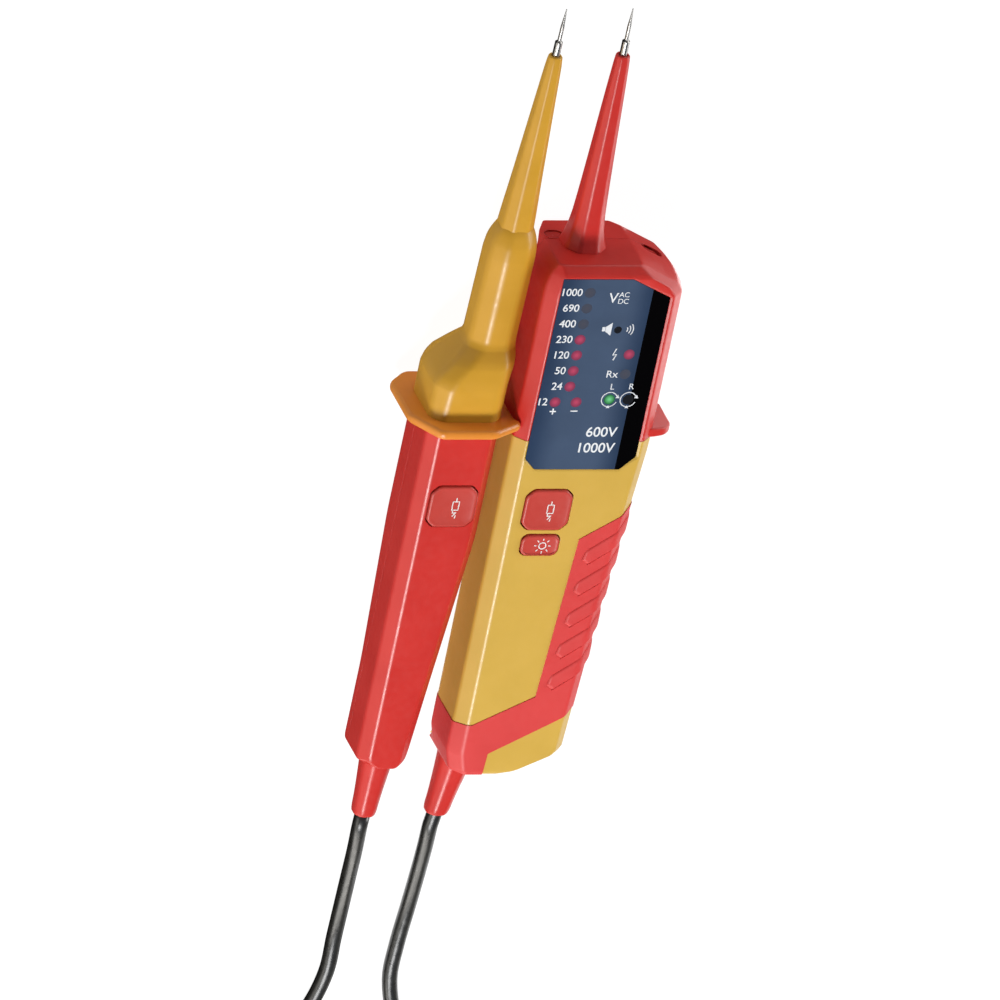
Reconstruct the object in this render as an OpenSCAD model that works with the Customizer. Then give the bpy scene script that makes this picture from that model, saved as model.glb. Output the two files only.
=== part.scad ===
// Two-pole voltage tester: a main unit with a lamp display, a probe handle docked to its left side,
// and the cord that joins the two. Millimetres.
// X runs to the right across the front, Y runs toward the probe tips, Z runs from the back to the front.
// The origin lies on the flat back of the main unit, below the probe axis, at the hand guard plane.

/* [Main unit] */
// Depth of the main unit from its back to its front
unit_depth = 35; // [32:0.5:40]
// Hand guard plane to the top of the hood
hood_length = 66; // [62:1:74]
// Hand guard plane to the lower end of the grip
grip_length = 129; // [125:1:140]
// Probe axis to the left side
unit_left = 15.8; // [15:0.1:17]
// Probe axis to the right side of the hood
unit_right = 33; // [31:0.5:36]
// How far the right side comes in at the lower end
grip_narrowing = 7.5; // [5:0.5:9]
// Thickness of the housing walls
wall = 2.2; // [1.8:0.1:2.6]
// Back of the unit to the seam between back and front shells
seam_height = 15; // [14:0.5:17]

/* [Display] */
// Probe axis to the left edge of the window
window_left = 11.2; // [10:0.1:11.5]
// Probe axis to the right edge of the window
window_right = 27.7; // [26:0.1:28.5]
// Top of the hood to the upper edge of the window
window_inset = 3.8; // [3.6:0.1:6]
// Hand guard plane to the lower edge of the window
window_bottom = 10.9; // [9:0.1:13]
// Thickness of the window pane
pane_thickness = 1.2; // [0.8:0.1:1.4]
// Depth of the pane below the front face
pane_recess = 0.4; // [0.2:0.1:0.6]
// Diameter of a lamp
lamp_d = 3.8; // [3:0.1:4.2]
// Distance between two rows of the voltage scale
lamp_pitch = 6; // [5:0.1:6.2]

/* [Buttons] */
// Width of a load button
load_button_w = 16.4; // [14:0.2:17]
// Length of a load button
load_button_l = 15.4; // [13:0.2:16]
// Width of the torch button
torch_button_w = 13.3; // [11:0.1:14]
// Length of the torch button
torch_button_l = 7.9; // [6:0.1:8]
// How far a button sinks when it is pressed
button_travel = 0.8; // [0.5:0.1:1]
// Running clearance round a button
button_gap = 0.3; // [0.2:0.05:0.4]

/* [Probes] */
// Length of a probe sleeve beyond its housing
sleeve_length = 72; // [65:1:80]
// Width of a sleeve at its root
sleeve_root_w = 14; // [13:0.2:15]
// Width of a sleeve at its end
sleeve_end_w = 5.2; // [4.4:0.1:6]
// Diameter of the steel probe rod
rod_d = 2.6; // [2:0.1:3]
// Bare steel beyond the sleeve
tip_length = 17.5; // [14:0.5:19]

/* [Grip] */
// Height of the soft grip above the housing
grip_rise = 0.5; // [0.3:0.1:0.8]
// Number of ribs on the grip
rib_count = 5; // [3:1:5]
// Distance from one rib to the next
rib_pitch = 12.1; // [11:0.1:13]
// Height of a rib above the grip
rib_rise = 0.9; // [0.5:0.1:1.2]

/* [Battery bay] */
// Diameter of a battery
battery_d = 10.5; // [10:0.1:10.5]
// Length of a battery
battery_l = 44.5; // [43:0.5:45]
// Thickness of the battery door
door_thickness = 1.8; // [1.5:0.1:2]

/* [Probe handle] */
// Probe axis of the main unit to the left side of the handle
handle_left = 46.2; // [45.5:0.1:48]
// Width of the handle just below its hand guard
handle_w = 25.6; // [24:0.1:26]
// Back of the main unit to the back of the handle
handle_back = 6; // [4:0.5:8]
// Back of the main unit to the front of the handle
handle_front = 33.6; // [32:0.1:35]
// Back of the main unit to the seam of the handle
handle_seam = 20; // [18:0.5:22]
// Hand guard plane to the lower end of the handle
handle_length = 128; // [124:1:134]
// Hand guard plane to the shoulder below the handle's sleeve
neck_top = 76; // [72:1:82]
// Width of the neck
neck_w = 17; // [16:0.2:18]
// Lean of the handle's probe toward the main unit, in degrees
probe_lean = 1.2; // [0:0.1:2]

/* [Hand guards] */
// Thickness of a hand guard
guard_thickness = 3.5; // [3:0.1:4]
// How far the unit's guard stands out on the right
guard_reach = 7.2; // [5:0.1:9]
// Depth of the handle's guard
guard_depth = 39.6; // [38:0.2:42]
// Running clearance between the docked handle and the main unit
dock_gap = 0.4; // [0.3:0.05:0.6]

/* [Cord] */
// Diameter of the cord
cord_d = 5.3; // [5:0.1:5.6]
// Length of the strain relief boots
boot_length = 24.6; // [22:0.2:28]
// Loop radius of the coil at its middle
coil_r = 27.5; // [26:0.5:30]

/* [Hidden] */

// Cuts and joints
cut_over = 1;
fit_gap = 0.05;
seat_gap = 0.3;
$fn = 32;

// Bevels of the main unit
front_bevel = 4;
end_bevel = 3;
edge_cut = 0.6;
least_cut = 0.2;
back_left_cut = [10, 14];
back_right_cut = [6, 6];
end_back_cut = [3, 6];
top_left_chamfer = [3.3, 5.5];
top_right_chamfer = [16, 8];
taper_start_y = -4;
corner_l = 7.8;
corner_y = -grip_length + corner_l;
slant_x = 9.5;
slant_l = 1.4;
slant_y = -grip_length + slant_l;
foot_x = 3.5;
foot_left = 12.5;
lower_left_shift = 0.8;
foot_cut = 4;

// Colours of the two mouldings
shell_yellow = [0.90, 0.68, 0.22];
shell_red = [0.82, 0.16, 0.15];
steel = [0.7, 0.7, 0.72];
board_green = [0.1, 0.4, 0.2];
cord_black = [0.08, 0.08, 0.09];

// Corner points of a box with its four edges cut, seen along Y. A cut is [width, depth].
function cut_box(left, right, back, front, fl, fr, bl, br) = [
  [left + fl[0], front], [right - fr[0], front], [right, front - fr[1]], [right, back + br[1]],
  [right - br[0], back], [left + bl[0], back], [left, back + bl[1]], [left, front - fl[1]]];

// A cut after its two faces and its own face have all moved outward by g
function grown_cut(cut, g) = [for (i = [0, 1])
  max(least_cut, cut[i] + g * (1 + (cut[i] - norm(cut)) / cut[1 - i]))];

// A station is [y, left, right, back, front, front-left cut, front-right cut, back-left cut, back-right cut]
function ring_of(s, g) = let(
    y = s[0] + sign(s[0]) * g,
    points = cut_box(s[1] - g, s[2] + g, s[3] - g, s[4] + g,
      grown_cut(s[5], g), grown_cut(s[6], g), grown_cut(s[7], g), grown_cut(s[8], g)))
  [for (p = points) [p[0], y, p[1]]];

// A solid through rings of equally many points, from the highest y down to the lowest
module skin(rings) {
  n = len(rings[0]);
  last = (len(rings) - 1) * n;
  sides = [for (k = [0:len(rings) - 2], i = [0:n - 1]) let(a = k * n, j = (i + 1) % n)
    each [[a + i, a + j, a + n + j], [a + i, a + n + j, a + n + i]]];
  polyhedron(points = [for (r = rings) each r],
    faces = concat([[for (i = [n - 1:-1:0]) i]], sides, [[for (i = [0:n - 1]) last + i]]));
}

module loft(stations, g = 0) {
  skin([for (s = stations) ring_of(s, g)]);
}

// A prism along Y from y0 to y1 whose outline is given in X and Z
module along_y(y0, y1) {
  translate([0, y1, 0]) rotate([90, 0, 0]) linear_extrude(y1 - y0) children();
}

// A round bar along Y
module bar_y(d, y0, y1) {
  along_y(y0, y1) circle(d = d);
}

// A box given by its two corners
module span(low, high) {
  translate(low) cube([high[0] - low[0], high[1] - low[1], high[2] - low[2]]);
}

// An upright cylinder that stands at the given place
module post(place, d, z0, z1) {
  translate([place[0], place[1], z0]) cylinder(d = d, h = z1 - z0);
}

// Main unit, outer form
unit_left_x = -unit_left;
unit_low_right = unit_right - grip_narrowing;
unit_stations = [
  [hood_length, unit_left_x + top_left_chamfer[0], unit_right - top_right_chamfer[0],
    end_bevel, unit_depth - end_bevel, [edge_cut, edge_cut], [edge_cut, edge_cut], end_back_cut, [end_bevel, end_bevel]],
  [hood_length - end_bevel, unit_left_x + top_left_chamfer[0] * (1 - end_bevel / top_left_chamfer[1]),
    unit_right - top_right_chamfer[0] * (1 - end_bevel / top_right_chamfer[1]), 0, unit_depth,
    [front_bevel, front_bevel], [end_bevel, end_bevel], back_left_cut, back_right_cut],
  [hood_length - top_left_chamfer[1], unit_left_x,
    unit_right - top_right_chamfer[0] * (1 - top_left_chamfer[1] / top_right_chamfer[1]), 0, unit_depth,
    [front_bevel, front_bevel], [front_bevel, front_bevel], back_left_cut, back_right_cut],
  [hood_length - top_right_chamfer[1], unit_left_x, unit_right, 0, unit_depth,
    [front_bevel, front_bevel], [front_bevel, front_bevel], back_left_cut, back_right_cut],
  [taper_start_y, unit_left_x, unit_right, 0, unit_depth,
    [front_bevel, front_bevel], [front_bevel, front_bevel], back_left_cut, back_right_cut],
  [corner_y, unit_left_x + lower_left_shift, unit_low_right, 0, unit_depth,
    [front_bevel, front_bevel], [front_bevel, front_bevel], back_left_cut, back_right_cut],
  [slant_y, -foot_left - lower_left_shift, slant_x, 0, unit_depth,
    [foot_cut, foot_cut], [edge_cut, edge_cut], [foot_cut, back_left_cut[1]], [edge_cut, edge_cut]],
  [-grip_length, -foot_left, foot_x, foot_cut, unit_depth - edge_cut,
    [foot_cut, foot_cut], [edge_cut, edge_cut], [foot_cut, foot_cut], [edge_cut, edge_cut]]];
far = 2 * (hood_length + grip_length);

module unit_solid(g = 0) {
  loft(unit_stations, g);
}

module unit_shell() {
  difference() {
    unit_solid();
    unit_solid(-wall);
  }
}

// The part of space in front of the seam, between two heights along Y
module in_front(y0, y1) {
  span([-far, y0, seam_height], [far, y1, far]);
}

module behind(y0, y1) {
  span([-far, y0, -far], [far, y1, seam_height]);
}

// Display
back_seam_y = -8;
window_top = hood_length - window_inset;
window_cut_low_left = 4;
window_cut_low_right = 5;
window_cut_top = [14.3, 7];
ledge_w = 2;
seal_t = 0.3;
pane_gap = 0.1;
pane_top = unit_depth - pane_recess;
pane_back = pane_top - pane_thickness;
seal_back = pane_back - seal_t;

module window_outline() {
  polygon([
    [-window_left, window_top], [window_right - window_cut_top[0], window_top],
    [window_right, window_top - window_cut_top[1]], [window_right, -window_bottom + window_cut_low_right],
    [window_right - window_cut_low_right, -window_bottom],
    [-window_left + window_cut_low_left, -window_bottom],
    [-window_left, -window_bottom + window_cut_low_left]]);
}

module window_opening() {
  translate([0, 0, seal_back]) linear_extrude(unit_depth) window_outline();
  linear_extrude(unit_depth) offset(delta = -ledge_w) window_outline();
}

// Lamps, as [x, y] from the probe axis and the hand guard plane
scale_x = -1;
scale_top_y = hood_length - 9;
scale_rows = 7;
polarity_half = 3.7;
polarity_x = -1.3;
voltage_places = concat(
  [for (i = [0:scale_rows - 1]) [scale_x, scale_top_y - i * lamp_pitch]],
  [for (side = [-1, 1]) [polarity_x + side * polarity_half, scale_top_y - scale_rows * lamp_pitch]]);
continuity_x = 12.5;
right_column_x = 18.1;
phase_left_x = 14.7;
phase_right_x = 21.3;
continuity_y = hood_length - 23.2;
warning_y = hood_length - 32.6;
test_y = hood_length - 40.2;
phase_y = hood_length - 49.9;
status_places = [[continuity_x, continuity_y], [right_column_x, warning_y], [right_column_x, test_y],
  [phase_left_x, phase_y], [phase_right_x, phase_y]];

// Circuit board
board_t = 1.6;
board_drop = 10;
board_top = unit_depth - board_drop;
board_left = -12.4;
board_right = 26.5;
board_high_y = hood_length - 8;
board_low_y = -46.5;
board_step = [[board_right, -4], [20, -11]];
led_d = 3;
led_base_t = 1;
rail_w = 3;
rail_t = 1.6;
rail_low_y = 12;
rail_high_y = hood_length - 12;
board_post_d = 5;
board_pilot_d = 2;
board_post_places = [[-10.9, -42], [14, -42]];
board_screw_head = [4, 1.6];
board_screw_depth = 5;
buzzer_place = [10, phase_y - 12.1];
buzzer_d = 9;
buzzer_h = 5;
resistor_d = 7;
resistor_t = 4;
resistor_places = [[-6, 0], [6, 0]];

// Buttons of the main unit
load_button_place = [0.2, -26.1];
torch_button_place = [0.3, -39.7];
button_rise = 0.8;
button_cut_w = 2.6;
torch_cut_w = 1.6;
flange_over = 0.9;
flange_t = 0.8;
dish_depth = 0.5;
dish_r = 60;
dish_facets = 96;
stem_d = 4;
switch_w = 6;
switch_h = 3.5;
plunger_d = 3.2;
plunger_h = 0.8;
switch_top = board_top + switch_h + plunger_h;

module cut_rectangle(w, l, cut) {
  polygon([
    [-w / 2 + cut, l / 2], [w / 2 - cut, l / 2], [w / 2, l / 2 - cut], [w / 2, -l / 2 + cut],
    [w / 2 - cut, -l / 2], [-w / 2 + cut, -l / 2], [-w / 2, -l / 2 + cut], [-w / 2, l / 2 - cut]]);
}

// A push button whose flange lies behind a wall with its face at front_z, and stands out by side to the sides
module push_button(w, l, cut, front_z, stem_end, side = flange_over) {
  flange_top = front_z - wall - seat_gap;
  difference() {
    union() {
      translate([0, 0, flange_top - flange_t]) linear_extrude(front_z + button_rise - flange_top + flange_t)
        cut_rectangle(w, l, cut);
      translate([0, 0, flange_top - flange_t]) linear_extrude(flange_t)
        cut_rectangle(w + 2 * side, l + 2 * flange_over, cut);
      translate([0, 0, stem_end]) cylinder(d = stem_d, h = flange_top - stem_end);
    }
    translate([0, 0, front_z + button_rise - dish_depth + dish_r]) sphere(r = dish_r, $fn = dish_facets);
  }
}

module button_opening(w, l, cut, front_z) {
  translate([0, 0, front_z - wall - cut_over]) linear_extrude(wall + 2 * cut_over)
    cut_rectangle(w + 2 * button_gap, l + 2 * button_gap, cut);
}

module tact_switch(place, base_z) {
  translate([place[0], place[1], base_z]) {
    translate([-switch_w / 2, -switch_w / 2, 0]) cube([switch_w, switch_w, switch_h]);
    cylinder(d = plunger_d, h = switch_h + plunger_h);
  }
}

// Soft grip, as a region seen from the front
grip_depth = 1;
grip_top_y = -24.7;
grip_inner_top = [13.8, -37.5];
grip_inner_low = [10.5, -grip_length + 30.5];
band_left = [-9.6, -grip_length + 19.4];
band_side_y = -grip_length + 18.4;
band_low_right_y = -grip_length + 24.6;
band_low = [-2, -grip_length + 8.3];
band_foot_x = -2.4;

// How much the grip's upper edge rises per millimetre to the right
grip_top_slope = (grip_top_y - grip_inner_top[1]) / (unit_right - grip_inner_top[0]);

module grip_region() {
  translate([0, 0, seam_height]) linear_extrude(far) polygon([
    [far / 2, grip_top_y + (far / 2 - unit_right) * grip_top_slope], grip_inner_top, grip_inner_low, band_left, [-unit_left - cut_over, band_side_y],
    [-far, band_side_y], [-far, -far], [band_foot_x, -far], [band_foot_x, -grip_length], band_low,
    [unit_low_right, band_low_right_y], [far / 2, band_low_right_y]]);
}

// Ribs of the grip. Each one rises to the right, across the front bevel.
rib_w = 5.4;
rib_first = [16.7, -45.9];
rib_step_x = -0.75;
rib_slope = 0.75;
rib_run = 20;
rib_end_cut = 1.5;

module grip_ribs() {
  low = -rib_end_cut / 2;
  rise = rib_slope * (rib_run - rib_end_cut);
  for (i = [0:rib_count - 1])
    translate([rib_first[0] + i * rib_step_x, rib_first[1] - i * rib_pitch, 0]) linear_extrude(far) polygon([
      [0, 0], [rib_end_cut, low], [rib_run, low + rise], [rib_run, low + rise + rib_w], [rib_end_cut, low + rib_w]]);
}

// Battery bay, behind the seam
bay_gap = 0.5;
bay_wall = 1.4;
bay_x = 6.2;
bay_w = 2 * battery_d + 3 * bay_gap;
contact_room = 3;
bay_l = battery_l + 2 * contact_room;
door_hinge_l = 73;
door_hinge_y = -grip_length + door_hinge_l;
bay_high_y = door_hinge_y - 2;
bay_low_y = bay_high_y - bay_l;
battery_z = door_thickness + seat_gap + battery_d / 2;
bay_top = battery_z + battery_d / 2 + bay_gap;
door_w = bay_w;
door_gap = 0.3;
hinge_pin_d = 1.2;
hinge_pin_l = 1;
door_low_margin = 9;
door_low_y = bay_low_y - door_low_margin;
door_screw_place = [bay_x, bay_low_y - 4.6];
door_screw_head = [5.6, 1.1];
door_screw_d = 2.6;
door_screw_bite = 2.5;
door_hole_d = 3.2;
screw_play = 0.4;
slot_w = 0.8;
slot_depth = 0.6;

// Screws that hold the back shell to the front shell
screw_d = 2.5;
screw_head = [5, 2.2];
screw_hole_gap = 0.4;
screw_bite = 9;
counterbore_depth = 6;
boss_d = 7;
boss_top = 10;
post_end = unit_depth - wall + seat_gap;
side_screw_place = [23.9, door_hinge_y + 2];
low_screw_place = [5, -grip_length + 7.8];
low_boss_d = 6.6;
shell_screw_places = [side_screw_place, low_screw_place];

// Torch lenses in the hood's top
lens_slot = [8.5, 5];
lens_t = 1.4;
lens_recess = 1;
lens_angle = -atan2(top_right_chamfer[1], top_right_chamfer[0]);
right_lens_x = 25.4;
right_lens_z = 15.9;
left_lens_x = -8.3;
left_lens_z = 12.2;
left_lens_w = 6.6;
torch_led_d = 3;
torch_led_l = 5.3;

// A stadium across X and Z that runs inward along -Y from the origin
module slot_prism(w, h, depth_low, depth_high) {
  along_y(-depth_high, -depth_low) {
    square([w - h, h], center = true);
    for (side = [-1, 1]) translate([side * (w - h) / 2, 0]) circle(d = h);
  }
}

module at_right_lens() {
  slope = top_right_chamfer[1] / top_right_chamfer[0];
  translate([right_lens_x, hood_length - (right_lens_x - unit_right + top_right_chamfer[0]) * slope, right_lens_z])
    rotate([0, 0, lens_angle]) children();
}

module at_left_lens() {
  translate([left_lens_x, hood_length, left_lens_z]) children();
}

// Probe sleeve of the main unit
probe_z = unit_depth / 2;
sleeve_flange_t = 2;
sleeve_spigot_d = 9;
sleeve_flange_d = 12;
rod_inside = 14;
core_step = 0.25;
core_hole_d = rod_d - 2 * core_step + 2 * fit_gap;
ferrule_share = 0.29;
needle_d = 1.3;
point_share = 0.62;
point_d = 0.3;

sleeve_cut_share = 0.27;

// Half widths along a sleeve, as shares of its length and of its root width
sleeve_shares = [[1, 0], [0.9, 0.04], [0.44, 0.42], [0.22, 0.6], [0.12, 0.68], [0.05, 0.86], [0, 1.1]];

function sleeve_ring(y, w) = let(h = w / 2, c = w * sleeve_cut_share)
  [for (p = cut_box(-h, h, -h, h, [c, c], [c, c], [c, c], [c, c])) [p[0], y, p[1]]];

// The sleeve along Y from its root at the origin
module sleeve_body(length, root_w, end_w) {
  skin([for (p = sleeve_shares) sleeve_ring(p[0] * length, end_w + (root_w - end_w) * p[1])]);
}

// The rod has a thinner core inside its sleeve, and the ferrule's shoulder sits on the sleeve's end
module rod_profile(length_in, length_sleeve) {
  tip_y = length_sleeve + tip_length;
  core = rod_d / 2 - core_step;
  rotate([-90, 0, 0]) rotate_extrude() polygon([
    [0, -length_in], [core, -length_in], [core, length_sleeve], [rod_d / 2, length_sleeve],
    [rod_d / 2, length_sleeve + ferrule_share * tip_length],
    [needle_d / 2, length_sleeve + ferrule_share * tip_length + rod_d / 4],
    [needle_d / 2, length_sleeve + point_share * tip_length], [point_d / 2, tip_y], [0, tip_y]]);
}

// Strain relief boots
boot_root_w = 12.6;
boot_end_w = 8;
boot_collar_d = 9;
boot_flange_d = 10;
handle_boot_flange_d = 8;
boot_flange_t = 2;
boot_x = -5.2;
boot_lean_x = -3.2;
handle_boot_lean_x = -0.6;

boot_cut_share = 0.24;

// Half widths along a boot, as shares of its length and of the difference between its two widths
boot_shares = [[0, 1], [0.12, 0.82], [0.5, 0.42], [0.8, 0.2], [0.93, 0.16], [1, 0]];

module boot_body(root, end, root_w, end_w) {
  skin([for (p = boot_shares) let(
      w = end_w + (root_w - end_w) * p[1], c = w * boot_cut_share, at = root + (end - root) * p[0])
    [for (q = cut_box(at[0] - w / 2, at[0] + w / 2, at[2] - w / 2, at[2] + w / 2, [c, c], [c, c], [c, c], [c, c]))
      [q[0], at[1], q[1]]]]);
}

// Main unit, front
module display_hood() {
  color(shell_red) {
    difference() {
      union() {
        intersection() {
          unit_shell();
          union() {
            in_front(0, far);
            span([-far, hood_length - end_bevel, -far], [far, far, far]);
          }
        }
        unit_guard();
        board_rails();
      }
      window_opening();
      hood_openings();
    }
  }
}

// The guard stands out from the right side, and its cut corners follow the unit's bevels
guard_front_drop = 5.2;
guard_corner = 1.5;
module unit_guard() {
  difference() {
    along_y(0, guard_thickness) polygon([
      [unit_right - front_bevel, unit_depth - front_bevel], [unit_right - front_bevel / 2, unit_depth - front_bevel / 2],
      [unit_right + guard_reach - guard_corner, unit_depth - guard_front_drop],
      [unit_right + guard_reach, unit_depth - guard_front_drop - guard_corner],
      [unit_right + guard_reach, seam_height], [unit_right - wall / 2, seam_height]]);
    unit_solid(-wall / 2);
  }
}

// Rails along the hood's side walls that carry the board
module board_rails() {
  intersection() {
    unit_solid(-wall / 2);
    for (side = [[unit_left_x, board_left + rail_w], [board_right - rail_w, unit_right]])
      span([side[0], rail_low_y, board_top - board_t - rail_t], [side[1], rail_high_y, board_top - board_t]);
  }
}

module hood_openings() {
  at_right_lens() slot_prism(lens_slot[0], lens_slot[1], -cut_over, 3 * wall);
  at_left_lens() slot_prism(left_lens_w, lens_slot[1], -cut_over, 2 * wall);
  translate([0, 0, probe_z]) bar_y(sleeve_spigot_d + 2 * fit_gap, hood_length - 2 * wall, hood_length + cut_over);
}

// The back of the hood laps a little further down than its front
module hood_back() {
  color(shell_red) difference() {
    intersection() {
      unit_shell();
      union() {
        behind(0, hood_length - end_bevel);
        back_lap();
      }
    }
    hood_openings();
  }
}

module back_lap() {
  intersection() {
    behind(back_seam_y, 0);
    span([-far, -far, -far], [far, far, back_left_cut[1] / 2]);
  }
}

module front_shell() {
  color(shell_yellow) {
    difference() {
      union() {
        intersection() {
          unit_shell();
          in_front(-far, 0);
        }
        for (p = shell_screw_places) post(p, boss_d - 1, boss_top, post_end);
        for (p = board_post_places) post(p, board_post_d, board_top, post_end);
      }
      window_opening();
      grip_pocket();
      for (p = shell_screw_places) post(p, screw_d, -cut_over, boss_top + screw_bite + cut_over);
      for (p = board_post_places) post(p, board_pilot_d, board_top - cut_over, board_top + board_screw_depth);
      translate(load_button_place) button_opening(load_button_w, load_button_l, button_cut_w, unit_depth);
      translate(torch_button_place) button_opening(torch_button_w, torch_button_l, torch_cut_w, unit_depth);
      boot_hole();
    }
  }
}

// The pocket that the soft grip fills, over the whole grip region
module grip_pocket() {
  intersection() {
    difference() {
      unit_solid(cut_over);
      unit_solid(-grip_depth);
    }
    grip_region();
  }
}

module grip_overlay() {
  color(shell_red) difference() {
    intersection() {
      union() {
        unit_solid(grip_rise);
        intersection() {
          unit_solid(grip_rise + rib_rise);
          grip_ribs();
        }
      }
      grip_region();
      span([-far, -grip_length, seam_height], [far, 0, far]);
    }
    unit_solid(fit_gap - grip_depth);
    boot_hole();
  }
}

module boot_hole() {
  translate([boot_x, 0, probe_z]) bar_y(boot_collar_d, -far, -grip_length + 3 * wall);
}

module rear_shell() {
  color(shell_yellow) difference() {
    union() {
      intersection() {
        unit_shell();
        difference() {
          behind(-far, 0);
          back_lap();
        }
      }
      intersection() {
        unit_solid(-wall / 2);
        union() {
          post(side_screw_place, low_boss_d, 0, boss_top);
          post(low_screw_place, low_boss_d, 0, boss_top);
          battery_bay_walls();
        }
      }
    }
    battery_bay_room();
    for (p = shell_screw_places) {
      post(p, screw_d + screw_hole_gap, -cut_over, boss_top + cut_over);
      post(p, screw_head[0] + screw_hole_gap, -cut_over, counterbore_depth);
    }
    post(door_screw_place, door_screw_d + 2 * screw_play, -cut_over, door_thickness + door_screw_bite + cut_over);
    boot_hole();
  }
}

// High walls round the batteries, and a low frame round the rest of the door
module battery_bay_walls() {
  right = bay_x + bay_w / 2 + bay_wall;
  left = bay_x - bay_w / 2 - bay_wall;
  span([left, bay_low_y - bay_wall, 0],
    [right, door_hinge_y + door_thickness / 2 + door_gap + bay_wall, bay_top + bay_wall]);
  span([left, door_low_y - bay_wall, 0], [right, bay_low_y, door_thickness + door_screw_bite + bay_wall]);
}

// The room for the batteries, and the shallower room for the door with its hinge pins
module battery_bay_room() {
  span([bay_x - bay_w / 2, bay_low_y, -cut_over], [bay_x + bay_w / 2, bay_high_y, bay_top]);
  span([bay_x - door_w / 2 - door_gap, door_low_y - door_gap, -cut_over],
    [bay_x + door_w / 2 + door_gap, door_hinge_y + door_thickness / 2 + door_gap, door_thickness + seat_gap]);
  at_hinge() cylinder(d = hinge_pin_d + 4 * fit_gap, h = door_w + 2 * (door_gap + hinge_pin_l + fit_gap), center = true);
}

// The hinge line of the door, along X
module at_hinge() {
  translate([bay_x, door_hinge_y, door_thickness / 2]) rotate([0, 90, 0]) children();
}

module battery_door() {
  color(shell_yellow) difference() {
    union() {
      span([bay_x - door_w / 2, door_low_y, 0], [bay_x + door_w / 2, door_hinge_y, door_thickness]);
      at_hinge() cylinder(d = door_thickness, h = door_w, center = true);
      at_hinge() cylinder(d = hinge_pin_d, h = door_w + 2 * (door_gap + hinge_pin_l), center = true);
    }
    post(door_screw_place, door_hole_d, -cut_over, door_thickness + cut_over);
    post(door_screw_place, door_screw_head[0] + screw_hole_gap, -cut_over, door_screw_head[1]);
  }
}

module door_screw() {
  color(steel) difference() {
    union() {
      post(door_screw_place, door_screw_head[0], 0, door_screw_head[1]);
      post(door_screw_place, door_screw_d, 0, door_thickness + door_screw_bite);
    }
    translate([door_screw_place[0], door_screw_place[1], 0])
      cube([door_screw_head[0] + cut_over, slot_w, 2 * slot_depth], center = true);
  }
}

battery_cap_d = 3.8;
battery_cap_l = 1;
module batteries() {
  color([0.2, 0.25, 0.3]) for (side = [-1, 1])
    translate([bay_x + side * (battery_d + bay_gap) / 2, 0, battery_z]) {
      low = bay_low_y + contact_room;
      high = low + battery_l - battery_cap_l;
      bar_y(battery_d, low, high);
      bar_y(battery_cap_d, high, high + battery_cap_l);
    }
}

// A plate and a conical spring at the low end of each battery, and a plate at the high end
contact_plate = [8, 0.6];
contact_spring_d = 3;
module battery_contacts() {
  color(steel) for (side = [-1, 1])
    translate([bay_x + side * (battery_d + bay_gap) / 2, 0, battery_z]) {
      along_y(bay_low_y, bay_low_y + contact_plate[1]) square(contact_plate[0], center = true);
      translate([0, bay_low_y, 0]) rotate([-90, 0, 0])
        cylinder(d1 = 2 * contact_spring_d, d2 = contact_spring_d, h = contact_room);
      along_y(bay_high_y - contact_plate[1], bay_high_y) square(contact_plate[0], center = true);
      bar_y(contact_spring_d, bay_low_y + contact_room + battery_l, bay_high_y);
    }
}

// A slotted screw that points to the front, with its head from low upward
module housing_screw(place, low, high) {
  difference() {
    union() {
      post(place, screw_head[0], low, low + screw_head[1]);
      post(place, screw_d - 2 * fit_gap, low, high);
    }
    translate([place[0], place[1], low]) cube([screw_head[0] + cut_over, slot_w, 2 * slot_depth], center = true);
  }
}

module housing_screws() {
  low = counterbore_depth - fit_gap - screw_head[1];
  color(steel) for (p = shell_screw_places) housing_screw(p, low, boss_top + screw_bite);
}

// Display pieces
module display_window() {
  color([0.1, 0.12, 0.16]) translate([0, 0, pane_back]) linear_extrude(pane_thickness)
    offset(delta = -pane_gap) window_outline();
}

module window_seal() {
  color([0.05, 0.05, 0.05]) translate([0, 0, seal_back]) linear_extrude(seal_t) difference() {
    offset(delta = -pane_gap) window_outline();
    offset(delta = -ledge_w) window_outline();
  }
}

module lamps(places) {
  for (p = places) {
    post(p, lamp_d, board_top, board_top + led_base_t);
    post(p, led_d, board_top, pane_back - led_d / 2);
    translate([p[0], p[1], pane_back - led_d / 2]) sphere(d = led_d);
  }
}

module voltage_leds() {
  color([0.9, 0.35, 0.45]) lamps(voltage_places);
}

module status_leds() {
  color([0.2, 0.7, 0.35]) lamps(status_places);
}

module circuit_board() {
  color(board_green) difference() {
    translate([0, 0, board_top - board_t]) linear_extrude(board_t) polygon([
      [board_left, board_high_y], [board_right, board_high_y], each board_step,
      [board_step[1][0], board_low_y], [board_left, board_low_y]]);
    for (p = board_post_places) post(p, screw_d, board_top - board_t - cut_over, board_top + cut_over);
  }
}

module board_screws() {
  color(steel) for (p = board_post_places) {
    post(p, board_screw_head[0], board_top - board_t - board_screw_head[1], board_top - board_t);
    post(p, board_pilot_d - 2 * fit_gap, board_top - board_t, board_top + board_screw_depth - seat_gap);
  }
}

module buzzer() {
  color([0.1, 0.1, 0.1]) difference() {
    post(buzzer_place, buzzer_d, board_top, board_top + buzzer_h);
    post(buzzer_place, stem_d / 2, board_top + buzzer_h - led_base_t, board_top + buzzer_h + cut_over);
  }
}

module load_switch() {
  color([0.12, 0.12, 0.12]) tact_switch(load_button_place, board_top);
}

module torch_switch() {
  color([0.12, 0.12, 0.12]) tact_switch(torch_button_place, board_top);
}

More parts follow.
